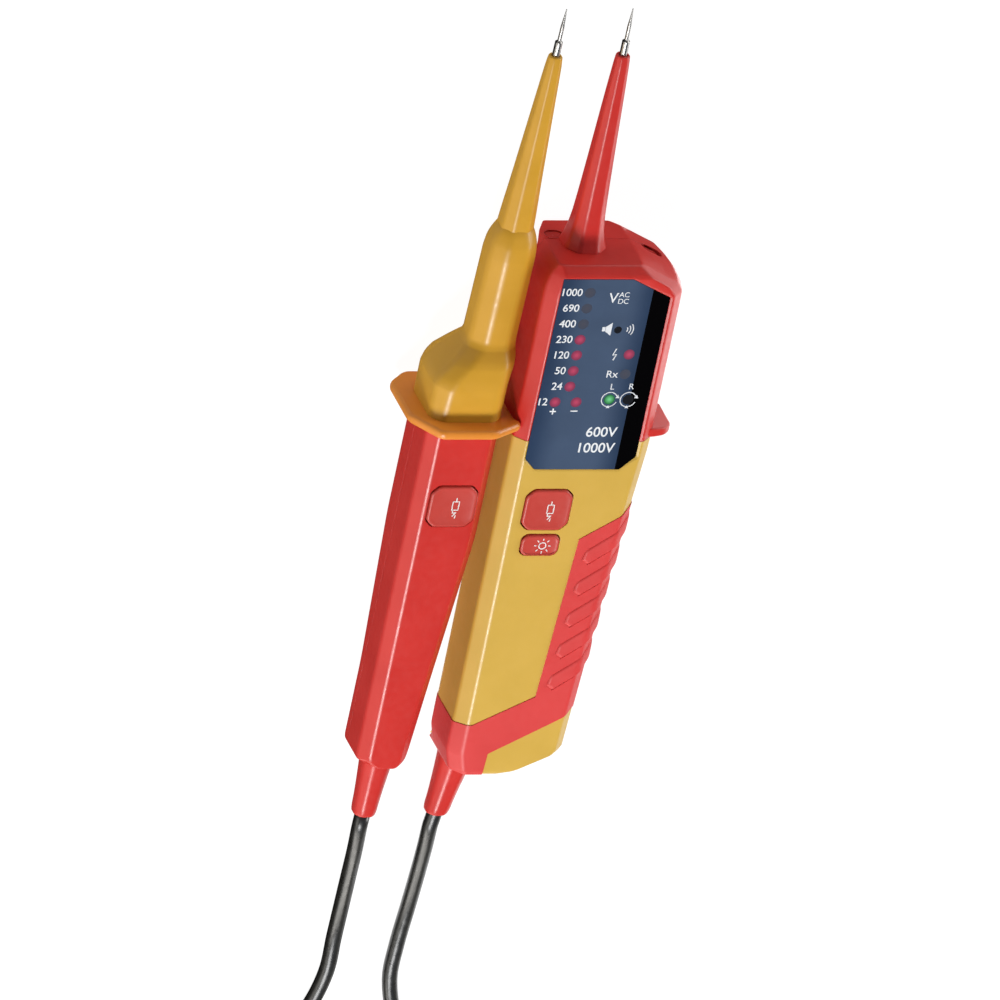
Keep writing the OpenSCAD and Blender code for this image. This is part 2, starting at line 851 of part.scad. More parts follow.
stem_gap = 0.1;
module load_button() {
  color(shell_red) translate(load_button_place)
    push_button(load_button_w, load_button_l, button_cut_w, unit_depth, switch_top + button_travel + stem_gap);
}

module torch_button() {
  color(shell_red) translate(torch_button_place)
    push_button(torch_button_w, torch_button_l, torch_cut_w, unit_depth, switch_top + button_travel + stem_gap);
}

// Load resistors, two discs that stand on the back of the board
module load_resistors() {
  color([0.75, 0.45, 0.2]) for (p = resistor_places)
    translate([p[0], p[1], board_top - board_t - resistor_d / 2]) bar_y(resistor_d, -resistor_t / 2, resistor_t / 2);
}

module torch_lenses() {
  color([0.5, 0.1, 0.1]) {
    at_right_lens() slot_prism(lens_slot[0] - 2 * fit_gap, lens_slot[1] - 2 * fit_gap, lens_recess, lens_recess + lens_t);
    at_left_lens() slot_prism(left_lens_w - 2 * fit_gap, lens_slot[1] - 2 * fit_gap, lens_recess, lens_recess + lens_t);
  }
}

module torch_leds() {
  low = lens_recess + lens_t;
  color([0.95, 0.95, 0.9]) {
    at_right_lens() bar_y(torch_led_d, -low - torch_led_l, -low);
    at_left_lens() bar_y(torch_led_d, -low - torch_led_l, -low);
  }
}

module probe_sleeve() {
  color(shell_red) translate([0, 0, probe_z]) difference() {
    union() {
      translate([0, hood_length, 0]) sleeve_body(sleeve_length, sleeve_root_w, sleeve_end_w);
      bar_y(sleeve_spigot_d, hood_length - wall, hood_length + cut_over);
      bar_y(sleeve_flange_d, hood_length - wall - sleeve_flange_t, hood_length - wall);
    }
    bar_y(core_hole_d, hood_length - rod_inside, hood_length + sleeve_length + cut_over);
  }
}

module probe_tip() {
  color(steel) translate([0, hood_length, probe_z]) rod_profile(rod_inside, sleeve_length);
}

module strain_relief() {
  color(shell_red) union() {
    boot_body([boot_x, -grip_length, probe_z], [boot_x + boot_lean_x, -grip_length - boot_length, probe_z],
      boot_root_w, boot_end_w);
    translate([boot_x, 0, probe_z]) {
      bar_y(boot_collar_d - 2 * fit_gap, -grip_length - cut_over, -grip_length + wall);
      bar_y(boot_flange_d, -grip_length + wall, -grip_length + wall + boot_flange_t);
    }
  }
}

// Probe handle, outer form. Its left side is straight and its right side comes in toward the cord.
handle_bevel = 3.6;
handle_left_x = -handle_left;
handle_right_x = handle_left_x + handle_w;
handle_top_y = 3;
handle_side_back = [4, 6.5];
handle_side_low = [6, 11];
handle_taper_y = -40;
handle_mid_share = 0.742;
handle_mid_y = -handle_mid_share * handle_length;
handle_foot_l = 6;
handle_foot_y = -handle_length + handle_foot_l;
handle_mid_narrow = 5;
handle_foot_narrow = 7.3;
handle_foot_cut = [5.8, 5.8];
handle_end_half = 5.6;
handle_boot_x = -34.4;
handle_axis_z = 20;

handle_stations = [
  [handle_top_y, handle_left_x, handle_right_x, handle_back, handle_front, [handle_bevel, handle_bevel],
    [handle_bevel, handle_bevel], handle_side_back, handle_side_back],
  [handle_taper_y, handle_left_x, handle_right_x, handle_back, handle_front, [handle_bevel, handle_bevel],
    [handle_bevel, handle_bevel], handle_side_back, handle_side_back],
  [handle_mid_y, handle_left_x, handle_right_x - handle_mid_narrow, handle_back, handle_front,
    [handle_bevel, handle_bevel], [handle_bevel, handle_bevel], handle_side_low, handle_side_low],
  [handle_foot_y, handle_left_x, handle_right_x - handle_foot_narrow, handle_back, handle_front,
    [handle_bevel, handle_bevel], [handle_bevel, handle_bevel], handle_side_low, handle_side_low],
  [-handle_length, handle_boot_x - handle_end_half, handle_boot_x + handle_end_half,
    handle_back + foot_cut, handle_front - edge_cut, [handle_bevel / 2, handle_bevel / 2],
    [handle_bevel / 2, handle_bevel / 2], [handle_bevel / 2, handle_bevel / 2], [handle_bevel / 2, handle_bevel / 2]]];

module handle_solid(g = 0) {
  skin([for (s = handle_stations) let(r = ring_of(s, g)) [for (p = r) [p[0], min(p[1], handle_top_y), p[2]]]]);
}

module handle_shell() {
  difference() {
    handle_solid();
    handle_solid(-wall);
  }
}

handle_button_place = [-32.9, -25.7];
handle_board_t = 1.6;
handle_board_w = 12;
handle_board_high_y = -8;
handle_board_low_y = -58;
handle_board_top = handle_front - board_drop;
handle_screw_places = [[-33, -66], [-35.5, -handle_length + 16]];
handle_post_places = [[-33, -14], [-33, -52]];

module handle_boot_hole() {
  translate([handle_boot_x, 0, handle_axis_z]) bar_y(boot_collar_d, -far, -handle_length + 2 * wall);
}

module handle_front_shell() {
  color(shell_red) difference() {
    union() {
      intersection() {
        handle_shell();
        span([-far, -far, handle_seam], [far, far, far]);
      }
      intersection() {
        handle_solid(-wall / 2);
        union() {
          for (p = handle_screw_places) post(p, boss_d - 1, handle_seam, handle_front);
          for (p = handle_post_places) post(p, board_post_d - 1, handle_board_top, handle_front);
        }
      }
    }
    for (p = handle_screw_places) post(p, screw_d, handle_seam - cut_over, handle_seam + screw_bite + cut_over);
    translate(handle_button_place) button_opening(load_button_w, load_button_l, button_cut_w, handle_front);
    handle_boot_hole();
  }
}

module handle_rear_shell() {
  color(shell_red) difference() {
    union() {
      intersection() {
        handle_shell();
        span([-far, -far, -far], [far, far, handle_seam]);
      }
      intersection() {
        handle_solid(-wall / 2);
        for (p = handle_screw_places) post(p, boss_d, handle_back, handle_seam);
      }
    }
    for (p = handle_screw_places) {
      post(p, screw_d + screw_hole_gap, -cut_over, handle_seam + cut_over);
      post(p, screw_head[0] + screw_hole_gap, -cut_over, handle_back + counterbore_depth);
    }
    handle_boot_hole();
  }
}

module handle_screws() {
  low = handle_back + counterbore_depth - fit_gap - screw_head[1];
  color(steel) for (p = handle_screw_places) housing_screw(p, low, handle_seam + screw_bite);
}

// The yellow moulding above the handle: guard, bulb and neck in one piece
neck_x = -26.9;
neck_foot_y = 33;
bulb_top_y = 20;
bulb_mid_y = 27;
bulb_bevel = 3.6;
neck_cut = [4.6, 4.6];
neck_half = neck_w / 2;
neck_mid_share = 0.55;
lean_slope = tan(probe_lean);
shoulder_l = 3.5;
shoulder_drop = 1.4;

function neck_centre(y) = neck_x + (y - neck_foot_y) * lean_slope;

collar_stations = [
  [neck_top + shoulder_l, neck_centre(neck_top + shoulder_l) - neck_half + shoulder_drop,
    neck_centre(neck_top + shoulder_l) + neck_half - shoulder_drop, handle_axis_z - neck_half + shoulder_drop,
    handle_axis_z + neck_half - shoulder_drop, neck_cut, neck_cut, neck_cut, neck_cut],
  [neck_top, neck_centre(neck_top) - neck_half, neck_centre(neck_top) + neck_half,
    handle_axis_z - neck_half, handle_axis_z + neck_half, neck_cut, neck_cut, neck_cut, neck_cut],
  [neck_foot_y, neck_centre(neck_foot_y) - neck_half, neck_centre(neck_foot_y) + neck_half,
    handle_axis_z - neck_half, handle_axis_z + neck_half, neck_cut, neck_cut, neck_cut, neck_cut],
  [bulb_mid_y, handle_left_x + (neck_x - neck_half - handle_left_x) * neck_mid_share,
    neck_centre(bulb_mid_y) + neck_half, handle_back + (handle_axis_z - neck_half - handle_back) * neck_mid_share,
    handle_front + (handle_axis_z + neck_half - handle_front) * neck_mid_share,
    neck_cut, neck_cut, neck_cut, neck_cut],
  [bulb_top_y, handle_left_x, handle_right_x + fit_gap, handle_back, handle_front,
    neck_cut, [bulb_bevel, bulb_bevel], handle_side_back, handle_side_back],
  [handle_top_y, handle_left_x, handle_right_x, handle_back, handle_front,
    [bulb_bevel, bulb_bevel], [bulb_bevel, bulb_bevel], handle_side_back, handle_side_back]];

// Outline of the handle's guard in X and Z. Its right side follows the main unit.
guard_left_x = -52.6;
guard_front_left = -44.4;
guard_front_right = -24.9;
guard_left_high = 27.9;
guard_left_low = 8;
guard_back_left = -48;
guard_back_right = -26;
guard_right_low = 7;
guard_tip_x = -14.2;

module guard_outline() {
  side_x = unit_left_x - dock_gap;
  bevel_z = unit_depth - front_bevel;
  polygon([
    [guard_front_left, guard_depth], [guard_front_right, guard_depth],
    [guard_tip_x, bevel_z + guard_tip_x - unit_left_x + 2 * dock_gap],
    [side_x, bevel_z + dock_gap], [side_x, back_left_cut[1]],
    [guard_back_right, 0], [guard_back_left, 0],
    [guard_left_x, guard_left_low], [guard_left_x, guard_left_high]]);
}

module handle_collar() {
  color(shell_yellow) difference() {
    union() {
      skin([for (s = collar_stations) ring_of(s, 0)]);
      along_y(handle_top_y, handle_top_y + guard_thickness) guard_outline();
    }
    at_handle_probe() bar_y(core_hole_d, -far, far);
  }
}

// The handle's probe axis, with its origin at the sleeve's root
module at_handle_probe() {
  translate([neck_centre(neck_top + shoulder_l), neck_top + shoulder_l, handle_axis_z])
    rotate([0, 0, -probe_lean]) children();
}

handle_sleeve_length = 59.5;
handle_rod_inside = 40;
module handle_probe_sleeve() {
  color(shell_yellow) at_handle_probe() difference() {
    translate([0, seat_gap, 0])
      sleeve_body(handle_sleeve_length - seat_gap, sleeve_root_w - shoulder_drop, sleeve_end_w);
    bar_y(core_hole_d, -cut_over, handle_sleeve_length + cut_over);
  }
}

module handle_probe_tip() {
  color(steel) at_handle_probe() rod_profile(handle_rod_inside, handle_sleeve_length);
}

module handle_button() {
  stem_end = handle_board_top + switch_h + plunger_h + button_travel + stem_gap;
  color(shell_red) translate(handle_button_place)
    push_button(load_button_w, load_button_l, button_cut_w, handle_front, stem_end, 0);
}

module handle_switch() {
  color([0.12, 0.12, 0.12]) tact_switch(handle_button_place, handle_board_top);
}

module handle_board() {
  color(board_green) span(
    [handle_post_places[0][0] - handle_board_w / 2, handle_board_low_y, handle_board_top - handle_board_t],
    [handle_post_places[0][0] + handle_board_w / 2, handle_board_high_y, handle_board_top]);
}

handle_resistor_y = -42;
handle_resistor_l = 8;
module handle_resistor() {
  color([0.75, 0.45, 0.2])
    translate([handle_post_places[0][0], 0, handle_board_top - handle_board_t - resistor_t / 2])
      bar_y(resistor_t, handle_resistor_y - handle_resistor_l / 2, handle_resistor_y + handle_resistor_l / 2);
}

module handle_strain_relief() {
  color(shell_red) union() {
    boot_body([handle_boot_x, -handle_length, handle_axis_z],
      [handle_boot_x + handle_boot_lean_x, -handle_length - boot_length, handle_axis_z], boot_root_w - wall / 2, boot_end_w);
    translate([handle_boot_x, 0, handle_axis_z]) {
      bar_y(boot_collar_d - 2 * fit_gap, -handle_length - cut_over, -handle_length + wall);
      bar_y(handle_boot_flange_d, -handle_length + wall, -handle_length + wall + boot_flange_t);
    }
  }
}

// The cord. Each run is a smooth curve through points chosen by hand, and the coil's loops follow a rule.
cord_sides = 8;
coil_sides = 6;
loop_steps = 24;
coil_centre = [-17, -282];
coil_loops_in = 2.5;
coil_pitch = 6.6;
coil_layer = 6.6;
run_rings = 28;
floor_z = cord_d / 2;
coil_outer = coil_r + coil_loops_in * coil_pitch / 2;
coil_start = [coil_centre[0] - coil_outer, coil_centre[1], floor_z];
coil_end = [coil_centre[0] + coil_outer, coil_centre[1], floor_z + coil_layer];
unit_exit = [boot_x + boot_lean_x, -grip_length - boot_length, probe_z];
handle_exit = [handle_boot_x + handle_boot_lean_x, -handle_length - boot_length, handle_axis_z];

unit_lead = cord_d * unit_of([boot_lean_x, -boot_length, 0]);
handle_lead = cord_d * unit_of([handle_boot_lean_x, -boot_length, 0]);

unit_route = concat([unit_exit, unit_exit + unit_lead], [
  [-8, -170, 14.5], [-6.7, -184, 10.2], [-5.9, -198, 6.6], [-6.1, -214, 4.7], [-5.8, -228, 4.5],
  [-1, -243, 5], [8, -256, 6.5], [15, -266, 8.2]], [coil_end + [0, cord_d, 0], coil_end]);
handle_route = concat([handle_exit, handle_exit + handle_lead], [
  [-33.5, -170, 16.5], [-31.3, -184, 11], [-29.4, -198, 6.2], [-28.3, -212, 3.2], [-28.3, -226, 2.8],
  [-32, -240, 2.65], [-40, -254, 2.65], [-48, -266, 2.65]], [coil_start + [0, cord_d, 0], coil_start]);

// A point on a smooth curve through points, for t from 0 to the last point's number
function curve_at(points, t) = let(
    n = len(points), k = min(floor(t), n - 2), f = t - k,
    a = points[max(k - 1, 0)], b = points[k], c = points[k + 1], d = points[min(k + 2, n - 1)])
  (2 * b + (c - a) * f + (2 * a - 5 * b + 4 * c - d) * f * f + (3 * b - a - 3 * c + d) * f * f * f) / 2;

function unit_of(v) = v / norm(v);

// A ring of the tube round a point of its line, square to the line's direction
function tube_ring(at, along, d, sides) = let(
    side = unit_of(cross(along, [0, 0, 1])), up = cross(side, along))
  [for (i = [0:sides - 1]) let(a = 360 * i / sides + 180 / sides)
    at + (side * cos(a) + up * sin(a)) * d / 2];

function tube_rings(line, d, sides, first, last) = [for (i = [0:len(line) - 1])
  let(along = i == 0 ? first : i == len(line) - 1 ? last : unit_of(line[i + 1] - line[i - 1]))
  tube_ring(line[i], along, d, sides)];

module tube(line, d, sides, first, last) {
  skin(tube_rings(line, d, sides, first, last));
}

module cord_run(route, last) {
  n = len(route) - 1;
  line = concat([route[0]], [for (i = [0:run_rings]) curve_at(route, 1 + (n - 2) * i / run_rings)], [route[n]]);
  tube(line, cord_d, cord_sides, [0, -1, 0], last);
}

module cord_run_unit() {
  color(cord_black) cord_run(unit_route, [0, -1, 0]);
}

module cord_run_handle() {
  color(cord_black) cord_run(handle_route, [0, -1, 0]);
}

// The coil turns counter-clockwise seen from the front: in on the floor, up in half a turn, out on top
coil_turns = 2 * coil_loops_in + 0.5;
function coil_turn_r(turn) = turn <= coil_loops_in ? coil_outer - coil_pitch * turn
  : turn <= coil_loops_in + 0.5 ? coil_outer - coil_pitch * coil_loops_in
  : coil_outer - coil_pitch * (coil_turns - turn);
function coil_rise(turn) = floor_z + coil_layer * min(max((turn - coil_loops_in) / 0.5, 0), 1);
function coil_point(turn) = [
  coil_centre[0] - coil_turn_r(turn) * cos(360 * turn),
  coil_centre[1] - coil_turn_r(turn) * sin(360 * turn), coil_rise(turn)];
coil_line = [for (i = [0:loop_steps * coil_turns]) coil_point(i / loop_steps)];

module cord_coil() {
  color(cord_black) tube(coil_line, cord_d, coil_sides, [0, -1, 0], [0, 1, 0]);
}

// The least gap between stretches of the coil that are more than half a loop apart
coil_gap = min([for (i = [0:len(coil_line) - 1], j = [i + loop_steps / 2:1:len(coil_line) - 1])
  norm(coil_line[i] - coil_line[j])]) - cord_d;
echo(coil_gap = coil_gap);

display_hood();
hood_back();
front_shell();
rear_shell();
grip_overlay();
display_window();
window_seal();
circuit_board();
voltage_leds();
status_leds();
buzzer();
load_switch();
torch_switch();
load_button();
torch_button();
torch_leds();
torch_lenses();
load_resistors();
battery_door();
door_screw();
batteries();
battery_contacts();
housing_screws();
board_screws();
probe_sleeve();
probe_tip();
strain_relief();
handle_front_shell();
handle_rear_shell();
handle_collar();
handle_probe_sleeve();
handle_probe_tip();
handle_button();
handle_switch();
handle_board();
handle_resistor();
handle_screws();
handle_strain_relief();
cord_run_unit();
cord_run_handle();
cord_coil();
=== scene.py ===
# The looks of a two-pole voltage tester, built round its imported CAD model.
# Shapes are worked out in millimetres, in the frame of the CAD model, and placed in metres.
import math

import bmesh
import bpy
from mathutils import Matrix, Vector


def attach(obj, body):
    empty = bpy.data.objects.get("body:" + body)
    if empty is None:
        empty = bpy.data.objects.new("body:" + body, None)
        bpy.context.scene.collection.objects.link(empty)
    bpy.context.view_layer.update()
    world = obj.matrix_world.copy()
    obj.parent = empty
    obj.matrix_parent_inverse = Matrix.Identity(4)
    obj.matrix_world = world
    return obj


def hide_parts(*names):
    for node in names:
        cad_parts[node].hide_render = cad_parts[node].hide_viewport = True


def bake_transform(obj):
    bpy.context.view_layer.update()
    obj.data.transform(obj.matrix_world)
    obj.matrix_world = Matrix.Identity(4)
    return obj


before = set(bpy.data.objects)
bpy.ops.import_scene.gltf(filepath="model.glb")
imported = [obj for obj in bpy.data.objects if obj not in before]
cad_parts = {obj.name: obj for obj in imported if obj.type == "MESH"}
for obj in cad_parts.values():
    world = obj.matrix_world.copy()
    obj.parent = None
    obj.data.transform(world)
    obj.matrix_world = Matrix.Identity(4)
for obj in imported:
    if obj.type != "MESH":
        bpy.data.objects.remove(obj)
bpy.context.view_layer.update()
MM = 0.001
scene = bpy.context.scene

# Camera: the photograph's direction through a long lens
AIM = Vector((-9.3, -33.1, 17.5)) * MM
BACK = Vector((-0.355, 0.486, 0.798)).normalized()
SIDE = Vector((0.935, 0.185, 0.3025))
SIDE = (SIDE - BACK * SIDE.dot(BACK)).normalized()
CAMERA_DISTANCE = 12.0
FIELD_WIDTH = 0.330
SENSOR_WIDTH = 36

camera_data = bpy.data.cameras.new("camera")
camera_data.sensor_width = SENSOR_WIDTH
camera_data.lens = SENSOR_WIDTH * CAMERA_DISTANCE / FIELD_WIDTH
camera = bpy.data.objects.new("camera", camera_data)
scene.collection.objects.link(camera)
camera.matrix_world = Matrix.LocRotScale(
    AIM + BACK * CAMERA_DISTANCE,
    Matrix((SIDE, BACK.cross(SIDE), BACK)).transposed().to_quaternion(),
    None,
)
scene.camera = camera


# Materials
def new_material(name, colour, roughness, **values):
    """A principled material and its nodes. Values set the shader's own sockets."""
    mat = bpy.data.materials.new(name)
    mat.use_nodes = True
    shader = mat.node_tree.nodes["Principled BSDF"]
    shader.inputs["Base Color"].default_value = (*colour, 1)
    shader.inputs["Roughness"].default_value = roughness
    for socket, value in values.items():
        shader.inputs[socket.replace("_", " ")].default_value = value
    mat.diffuse_color = (*colour, 1)
    return mat, mat.node_tree, shader


def node(tree, kind, **values):
    made = tree.nodes.new("ShaderNode" + kind)
    for name, value in values.items():
        if name in made.inputs:
            made.inputs[name].default_value = value
        else:
            setattr(made, name, value)
    return made


def noise(tree, size, detail=2.0):
    """Noise in object space whose blotches are about size millimetres across."""
    place = node(tree, "TexCoord")
    made = node(tree, "TexNoise", Scale=1 / (size * MM), Detail=detail)
    tree.links.new(place.outputs["Object"], made.inputs["Vector"])
    return made.outputs["Fac"]


def ramp(tree, source, low, high, start=0.3, end=0.7):
    made = node(tree, "ValToRGB")
    made.color_ramp.elements[0].position = start
    made.color_ramp.elements[1].position = end
    made.color_ramp.elements[0].color = (*low, 1)
    made.color_ramp.elements[1].color = (*high, 1)
    tree.links.new(source, made.inputs["Fac"])
    return made.outputs["Color"]


def grey(value):
    return (value, value, value)


def relief(tree, shader, heights, edge=0.3):
    """Bump from pairs of height source and depth in millimetres, over edges that are softened by edge."""
    soft = node(tree, "Bevel", samples=4, Radius=edge * MM)
    normal = soft.outputs["Normal"]
    for source, depth in heights:
        bump = node(tree, "Bump", Strength=1.0, Distance=depth * MM)
        tree.links.new(source, bump.inputs["Height"])
        tree.links.new(normal, bump.inputs["Normal"])
        normal = bump.outputs["Normal"]
    tree.links.new(normal, shader.inputs["Normal"])


def moulded(name, dark, light, roughness, grain=0.01, edge=0.3, blotch=14.0, **values):
    """Moulded plastic: a fine grain, faint flow marks in its colour, and gloss that varies a little."""
    mat, tree, shader = new_material(name, light, roughness, **values)
    flow = noise(tree, blotch, 3.0)
    tree.links.new(ramp(tree, flow, dark, light), shader.inputs["Base Color"])
    patchy = noise(tree, 2.2, 4.0)
    gloss = ramp(tree, patchy, grey(roughness - 0.05), grey(roughness + 0.06))
    tree.links.new(gloss, shader.inputs["Roughness"])
    relief(tree, shader, [(noise(tree, 0.28), grain), (noise(tree, 3.5), grain * 1.5)], edge)
    return mat


RED = moulded("red_housing", (0.61, 0.027, 0.020), (0.66, 0.034, 0.026), 0.33)
RED_KEY = moulded("red_button", (0.56, 0.052, 0.038), (0.61, 0.062, 0.046), 0.40, grain=0.008)
GRIP = moulded("red_grip", (0.70, 0.046, 0.043), (0.75, 0.054, 0.051), 0.48, grain=0.02, edge=0.25)
YELLOW = moulded("yellow_housing", (0.67, 0.42, 0.068), (0.715, 0.45, 0.080), 0.35)
COLLAR_YELLOW = moulded("yellow_collar", (0.67, 0.345, 0.024), (0.72, 0.375, 0.032), 0.36)
# The guard's more orange copy of the collar's yellow is painted shade and painted red bounce light from the
# handle
GUARD_YELLOW_PAINTED_SHADE = moulded("yellow_guard_painted_shade", (0.80, 0.265, 0.028), (0.85, 0.292, 0.036), 0.33)
CORD = moulded("cord_jacket", (0.010, 0.010, 0.008), (0.018, 0.017, 0.014), 0.30,
               grain=0.006, blotch=5.0, IOR=1.85)
BLACK = moulded("black_part", (0.015, 0.015, 0.016), (0.028, 0.028, 0.030), 0.45)
SEAL = moulded("seal_black", (0.008, 0.008, 0.009), (0.016, 0.016, 0.017), 0.6)
BOARD = moulded("board_green", (0.012, 0.11, 0.045), (0.02, 0.15, 0.06), 0.35, blotch=4.0)
RESISTOR = moulded("resistor_body", (0.45, 0.20, 0.06), (0.55, 0.26, 0.08), 0.5, blotch=3.0)
CELL = moulded("battery_label", (0.05, 0.07, 0.10), (0.09, 0.12, 0.16), 0.3, blotch=8.0)
LENS = moulded("lens_dark_red", (0.46, 0.030, 0.026), (0.56, 0.040, 0.034), 0.22,
               grain=0.002, Coat_Weight=0.4)
TORCH = moulded("torch_lamp", (0.75, 0.76, 0.72), (0.86, 0.87, 0.84), 0.15,
                grain=0.001, Coat_Weight=0.5)
PRINT = moulded("print_white", (0.78, 0.80, 0.84), (0.88, 0.90, 0.92), 0.4, grain=0.001, edge=0.05)
KEY_PRINT = moulded("key_print", (0.88, 0.80, 0.78), (0.94, 0.88, 0.86), 0.45, grain=0.001, edge=0.05)


def metal(name, colour, roughness, streak):
    """Drawn or turned steel: fine marks across its length."""
    mat, tree, shader = new_material(name, colour, roughness, Metallic=1.0)
    place = node(tree, "TexCoord")
    spread = node(tree, "Mapping")
    spread.inputs["Scale"].default_value = streak
    tree.links.new(place.outputs["Object"], spread.inputs["Vector"])
    marks = node(tree, "TexNoise", Scale=1 / (1.2 * MM), Detail=4.0)
    tree.links.new(spread.outputs["Vector"], marks.inputs["Vector"])
    shade = ramp(tree, marks.outputs["Fac"], tuple(c * 0.72 for c in colour), colour)
    tree.links.new(shade, shader.inputs["Base Color"])
    gloss = ramp(tree, marks.outputs["Fac"], grey(roughness - 0.06), grey(roughness + 0.12))
    tree.links.new(gloss, shader.inputs["Roughness"])
    relief(tree, shader, [(marks.outputs["Fac"], 0.004)], 0.08)
    return mat


STEEL = metal("zinc_steel", (0.62, 0.61, 0.58), 0.32, (1, 1, 8))
PROBE_STEEL = metal("probe_steel", (0.60, 0.58, 0.55), 0.26, (1, 6, 1))


def blended(tree, blend_type, first, second):
    mix = node(tree, "MixRGB", blend_type=blend_type)
    mix.inputs["Fac"].default_value = 1.0
    tree.links.new(first, mix.inputs["Color1"])
    tree.links.new(second, mix.inputs["Color2"])
    return mix.outputs["Color"]


def window_material(name, low, high, **values):
    """Smoked acrylic whose colour, lighter in the middle and darker toward its sides, is a painted
    reflection; with faint smears in that colour and its gloss, and dust.
    """
    mat, tree, shader = new_material(name, high, 0.06, **values)
    smear = noise(tree, 16.0, 3.0)
    place = node(tree, "TexCoord")
    across = node(tree, "SeparateXYZ")
    tree.links.new(place.outputs["Object"], across.inputs["Vector"])
    # Share across the pane from its left side to its right, which places the painted reflection
    depth = node(tree, "MapRange")
    depth.inputs["From Min"].default_value = -11.5 * MM
    depth.inputs["From Max"].default_value = 22 * MM
    tree.links.new(across.outputs["X"], depth.inputs["Value"])
    painted_reflection = node(tree, "ValToRGB")
    painted_reflection.color_ramp.interpolation = "EASE"
    for element, at in zip(painted_reflection.color_ramp.elements, (0.0, 1.0)):
        element.position = at
        element.color = (*low, 1)
    for at in (0.35, 0.7):
        painted_reflection.color_ramp.elements.new(at).color = (*high, 1)
    tree.links.new(depth.outputs["Result"], painted_reflection.inputs["Fac"])
    smeared = ramp(tree, smear, grey(0.88), grey(1.06))
    smeared_painted_reflection = blended(tree, "MULTIPLY", painted_reflection.outputs["Color"], smeared)
    specks = ramp(tree, noise(tree, 0.35, 1.0), grey(0.0), grey(0.006), 0.68, 0.82)
    tree.links.new(blended(tree, "ADD", smeared_painted_reflection, specks), shader.inputs["Base Color"])
    tree.links.new(ramp(tree, smear, grey(0.04), grey(0.07)), shader.inputs["Roughness"])
    relief(tree, shader, [(noise(tree, 30.0, 1.0), 0.004)], 0.15)
    return mat


# The window's blue-grey colour, lighter in the middle and darker toward its sides, is a painted reflection
WINDOW = window_material("window_dark", (0.026, 0.048, 0.100), (0.066, 0.100, 0.170))
# A near-black, weakly reflecting strip for the window's right edge: a painted dark reflection
PAINTED_DARK_REFLECTION = window_material("window_painted_dark_reflection", (0.001, 0.0005, 0.0005), (0.002, 0.001, 0.001), IOR=1.2)
LAMP_R = 1.9


def lamp_material(name, core, rim, glow):
    """A lamp behind the window: a bright core that fades to its rim, measured from the lamp's centre."""
    mat, tree, shader = new_material(name, (0.01, 0.01, 0.012), 0.06)
    place = node(tree, "TexCoord")
    length = node(tree, "VectorMath", operation="LENGTH")
    tree.links.new(place.outputs["Object"], length.inputs[0])
    scaled = node(tree, "Math", operation="MULTIPLY")
    scaled.inputs[1].default_value = 1 / (LAMP_R * MM)
    tree.links.new(length.outputs["Value"], scaled.inputs[0])
    fade = ramp(tree, scaled.outputs["Value"], core, rim, 0.15, 0.95)
    tree.links.new(fade, shader.inputs["Emission Color"])
    shader.inputs["Emission Strength"].default_value = glow
    return mat


LAMP_RED = lamp_material("lamp_red", (0.50, 0.055, 0.12), (0.22, 0.030, 0.075), 1.0)
LAMP_GREEN = lamp_material("lamp_green", (0.16, 0.62, 0.24), (0.008, 0.13, 0.03), 1.0)
# Unlit lamps glow a faint blue-grey: a painted reflection that matches the window's
LAMP_OFF_PAINTED_REFLECTION = lamp_material("lamp_off_painted_reflection", (0.060, 0.062, 0.085), (0.050, 0.060, 0.090), 1.0)
LAMP_DARK = lamp_material("lamp_dark", (0.0, 0.0, 0.0), (0.0, 0.0, 0.0), 0.0)


# Shapes
def cut_box(left, right, back, front, fl, fr, bl, br, crown=None):
    """The corners of a box with its four long edges cut, seen along Y. A cut is its width and depth.
    With a crown the right side bulges by that much at its middle."""
    high, low = front - fr[1], back + br[1]
    bulge = []
    if crown is not None:
        bulge = [(right + crown * 4 * t * (1 - t), high + (low - high) * t) for t in (0.25, 0.5, 0.75)]
    return [(left + fl[0], front), (right - fr[0], front), (right, high), *bulge, (right, low),
            (right - br[0], back), (left + bl[0], back), (left, back + bl[1]), (left, front - fl[1])]


def grown_cut(cut, g):
    """A cut after its two faces and its own face have moved outward by g."""
    slant = math.hypot(*cut)
    return [max(0.2, cut[i] + g * (1 + (cut[i] - slant) / cut[1 - i])) for i in (0, 1)]


def ring_at(station, g=0.0):
    """The outline at a station of y, left, right, back, front, four cuts and a crown, grown outward by g."""
    y, left, right, back, front, fl, fr, bl, br, *crown = station
    cuts = [grown_cut(c, g) for c in (fl, fr, bl, br)]
    corners = cut_box(left - g, right + g, back - g, front + g, *cuts, *crown)
    return [Vector((x, y, z)) for x, z in corners]


def rounded(points, reach, steps=3):
    """A closed outline with each corner rounded from reach before it to reach after it."""
    out = []
    for i, here in enumerate(points):
        before, after = points[i - 1], points[(i + 1) % len(points)]
        a = here.lerp(before, min(reach / max((before - here).length, 1e-6), 0.45))
        b = here.lerp(after, min(reach / max((after - here).length, 1e-6), 0.45))
        for k in range(steps + 1):
            t = k / steps
            out.append(a.lerp(here, t).lerp(here.lerp(b, t), t))
    return out


def grow_outline(points, by):
    """A flat outline in X and Y whose corners have all moved outward by about the same amount."""
    out = []
    for i, p in enumerate(points):
        a = (p - points[i - 1]).normalized()
        b = (points[(i + 1) % len(points)] - p).normalized()
        side = a + b
        out.append(p + Vector((-side.y, side.x, 0)).normalized() * by)
    return out


def apart(a, b):
    return max(sum((p - q).length for p, q in zip(a, b)) / len(a), 1e-6)


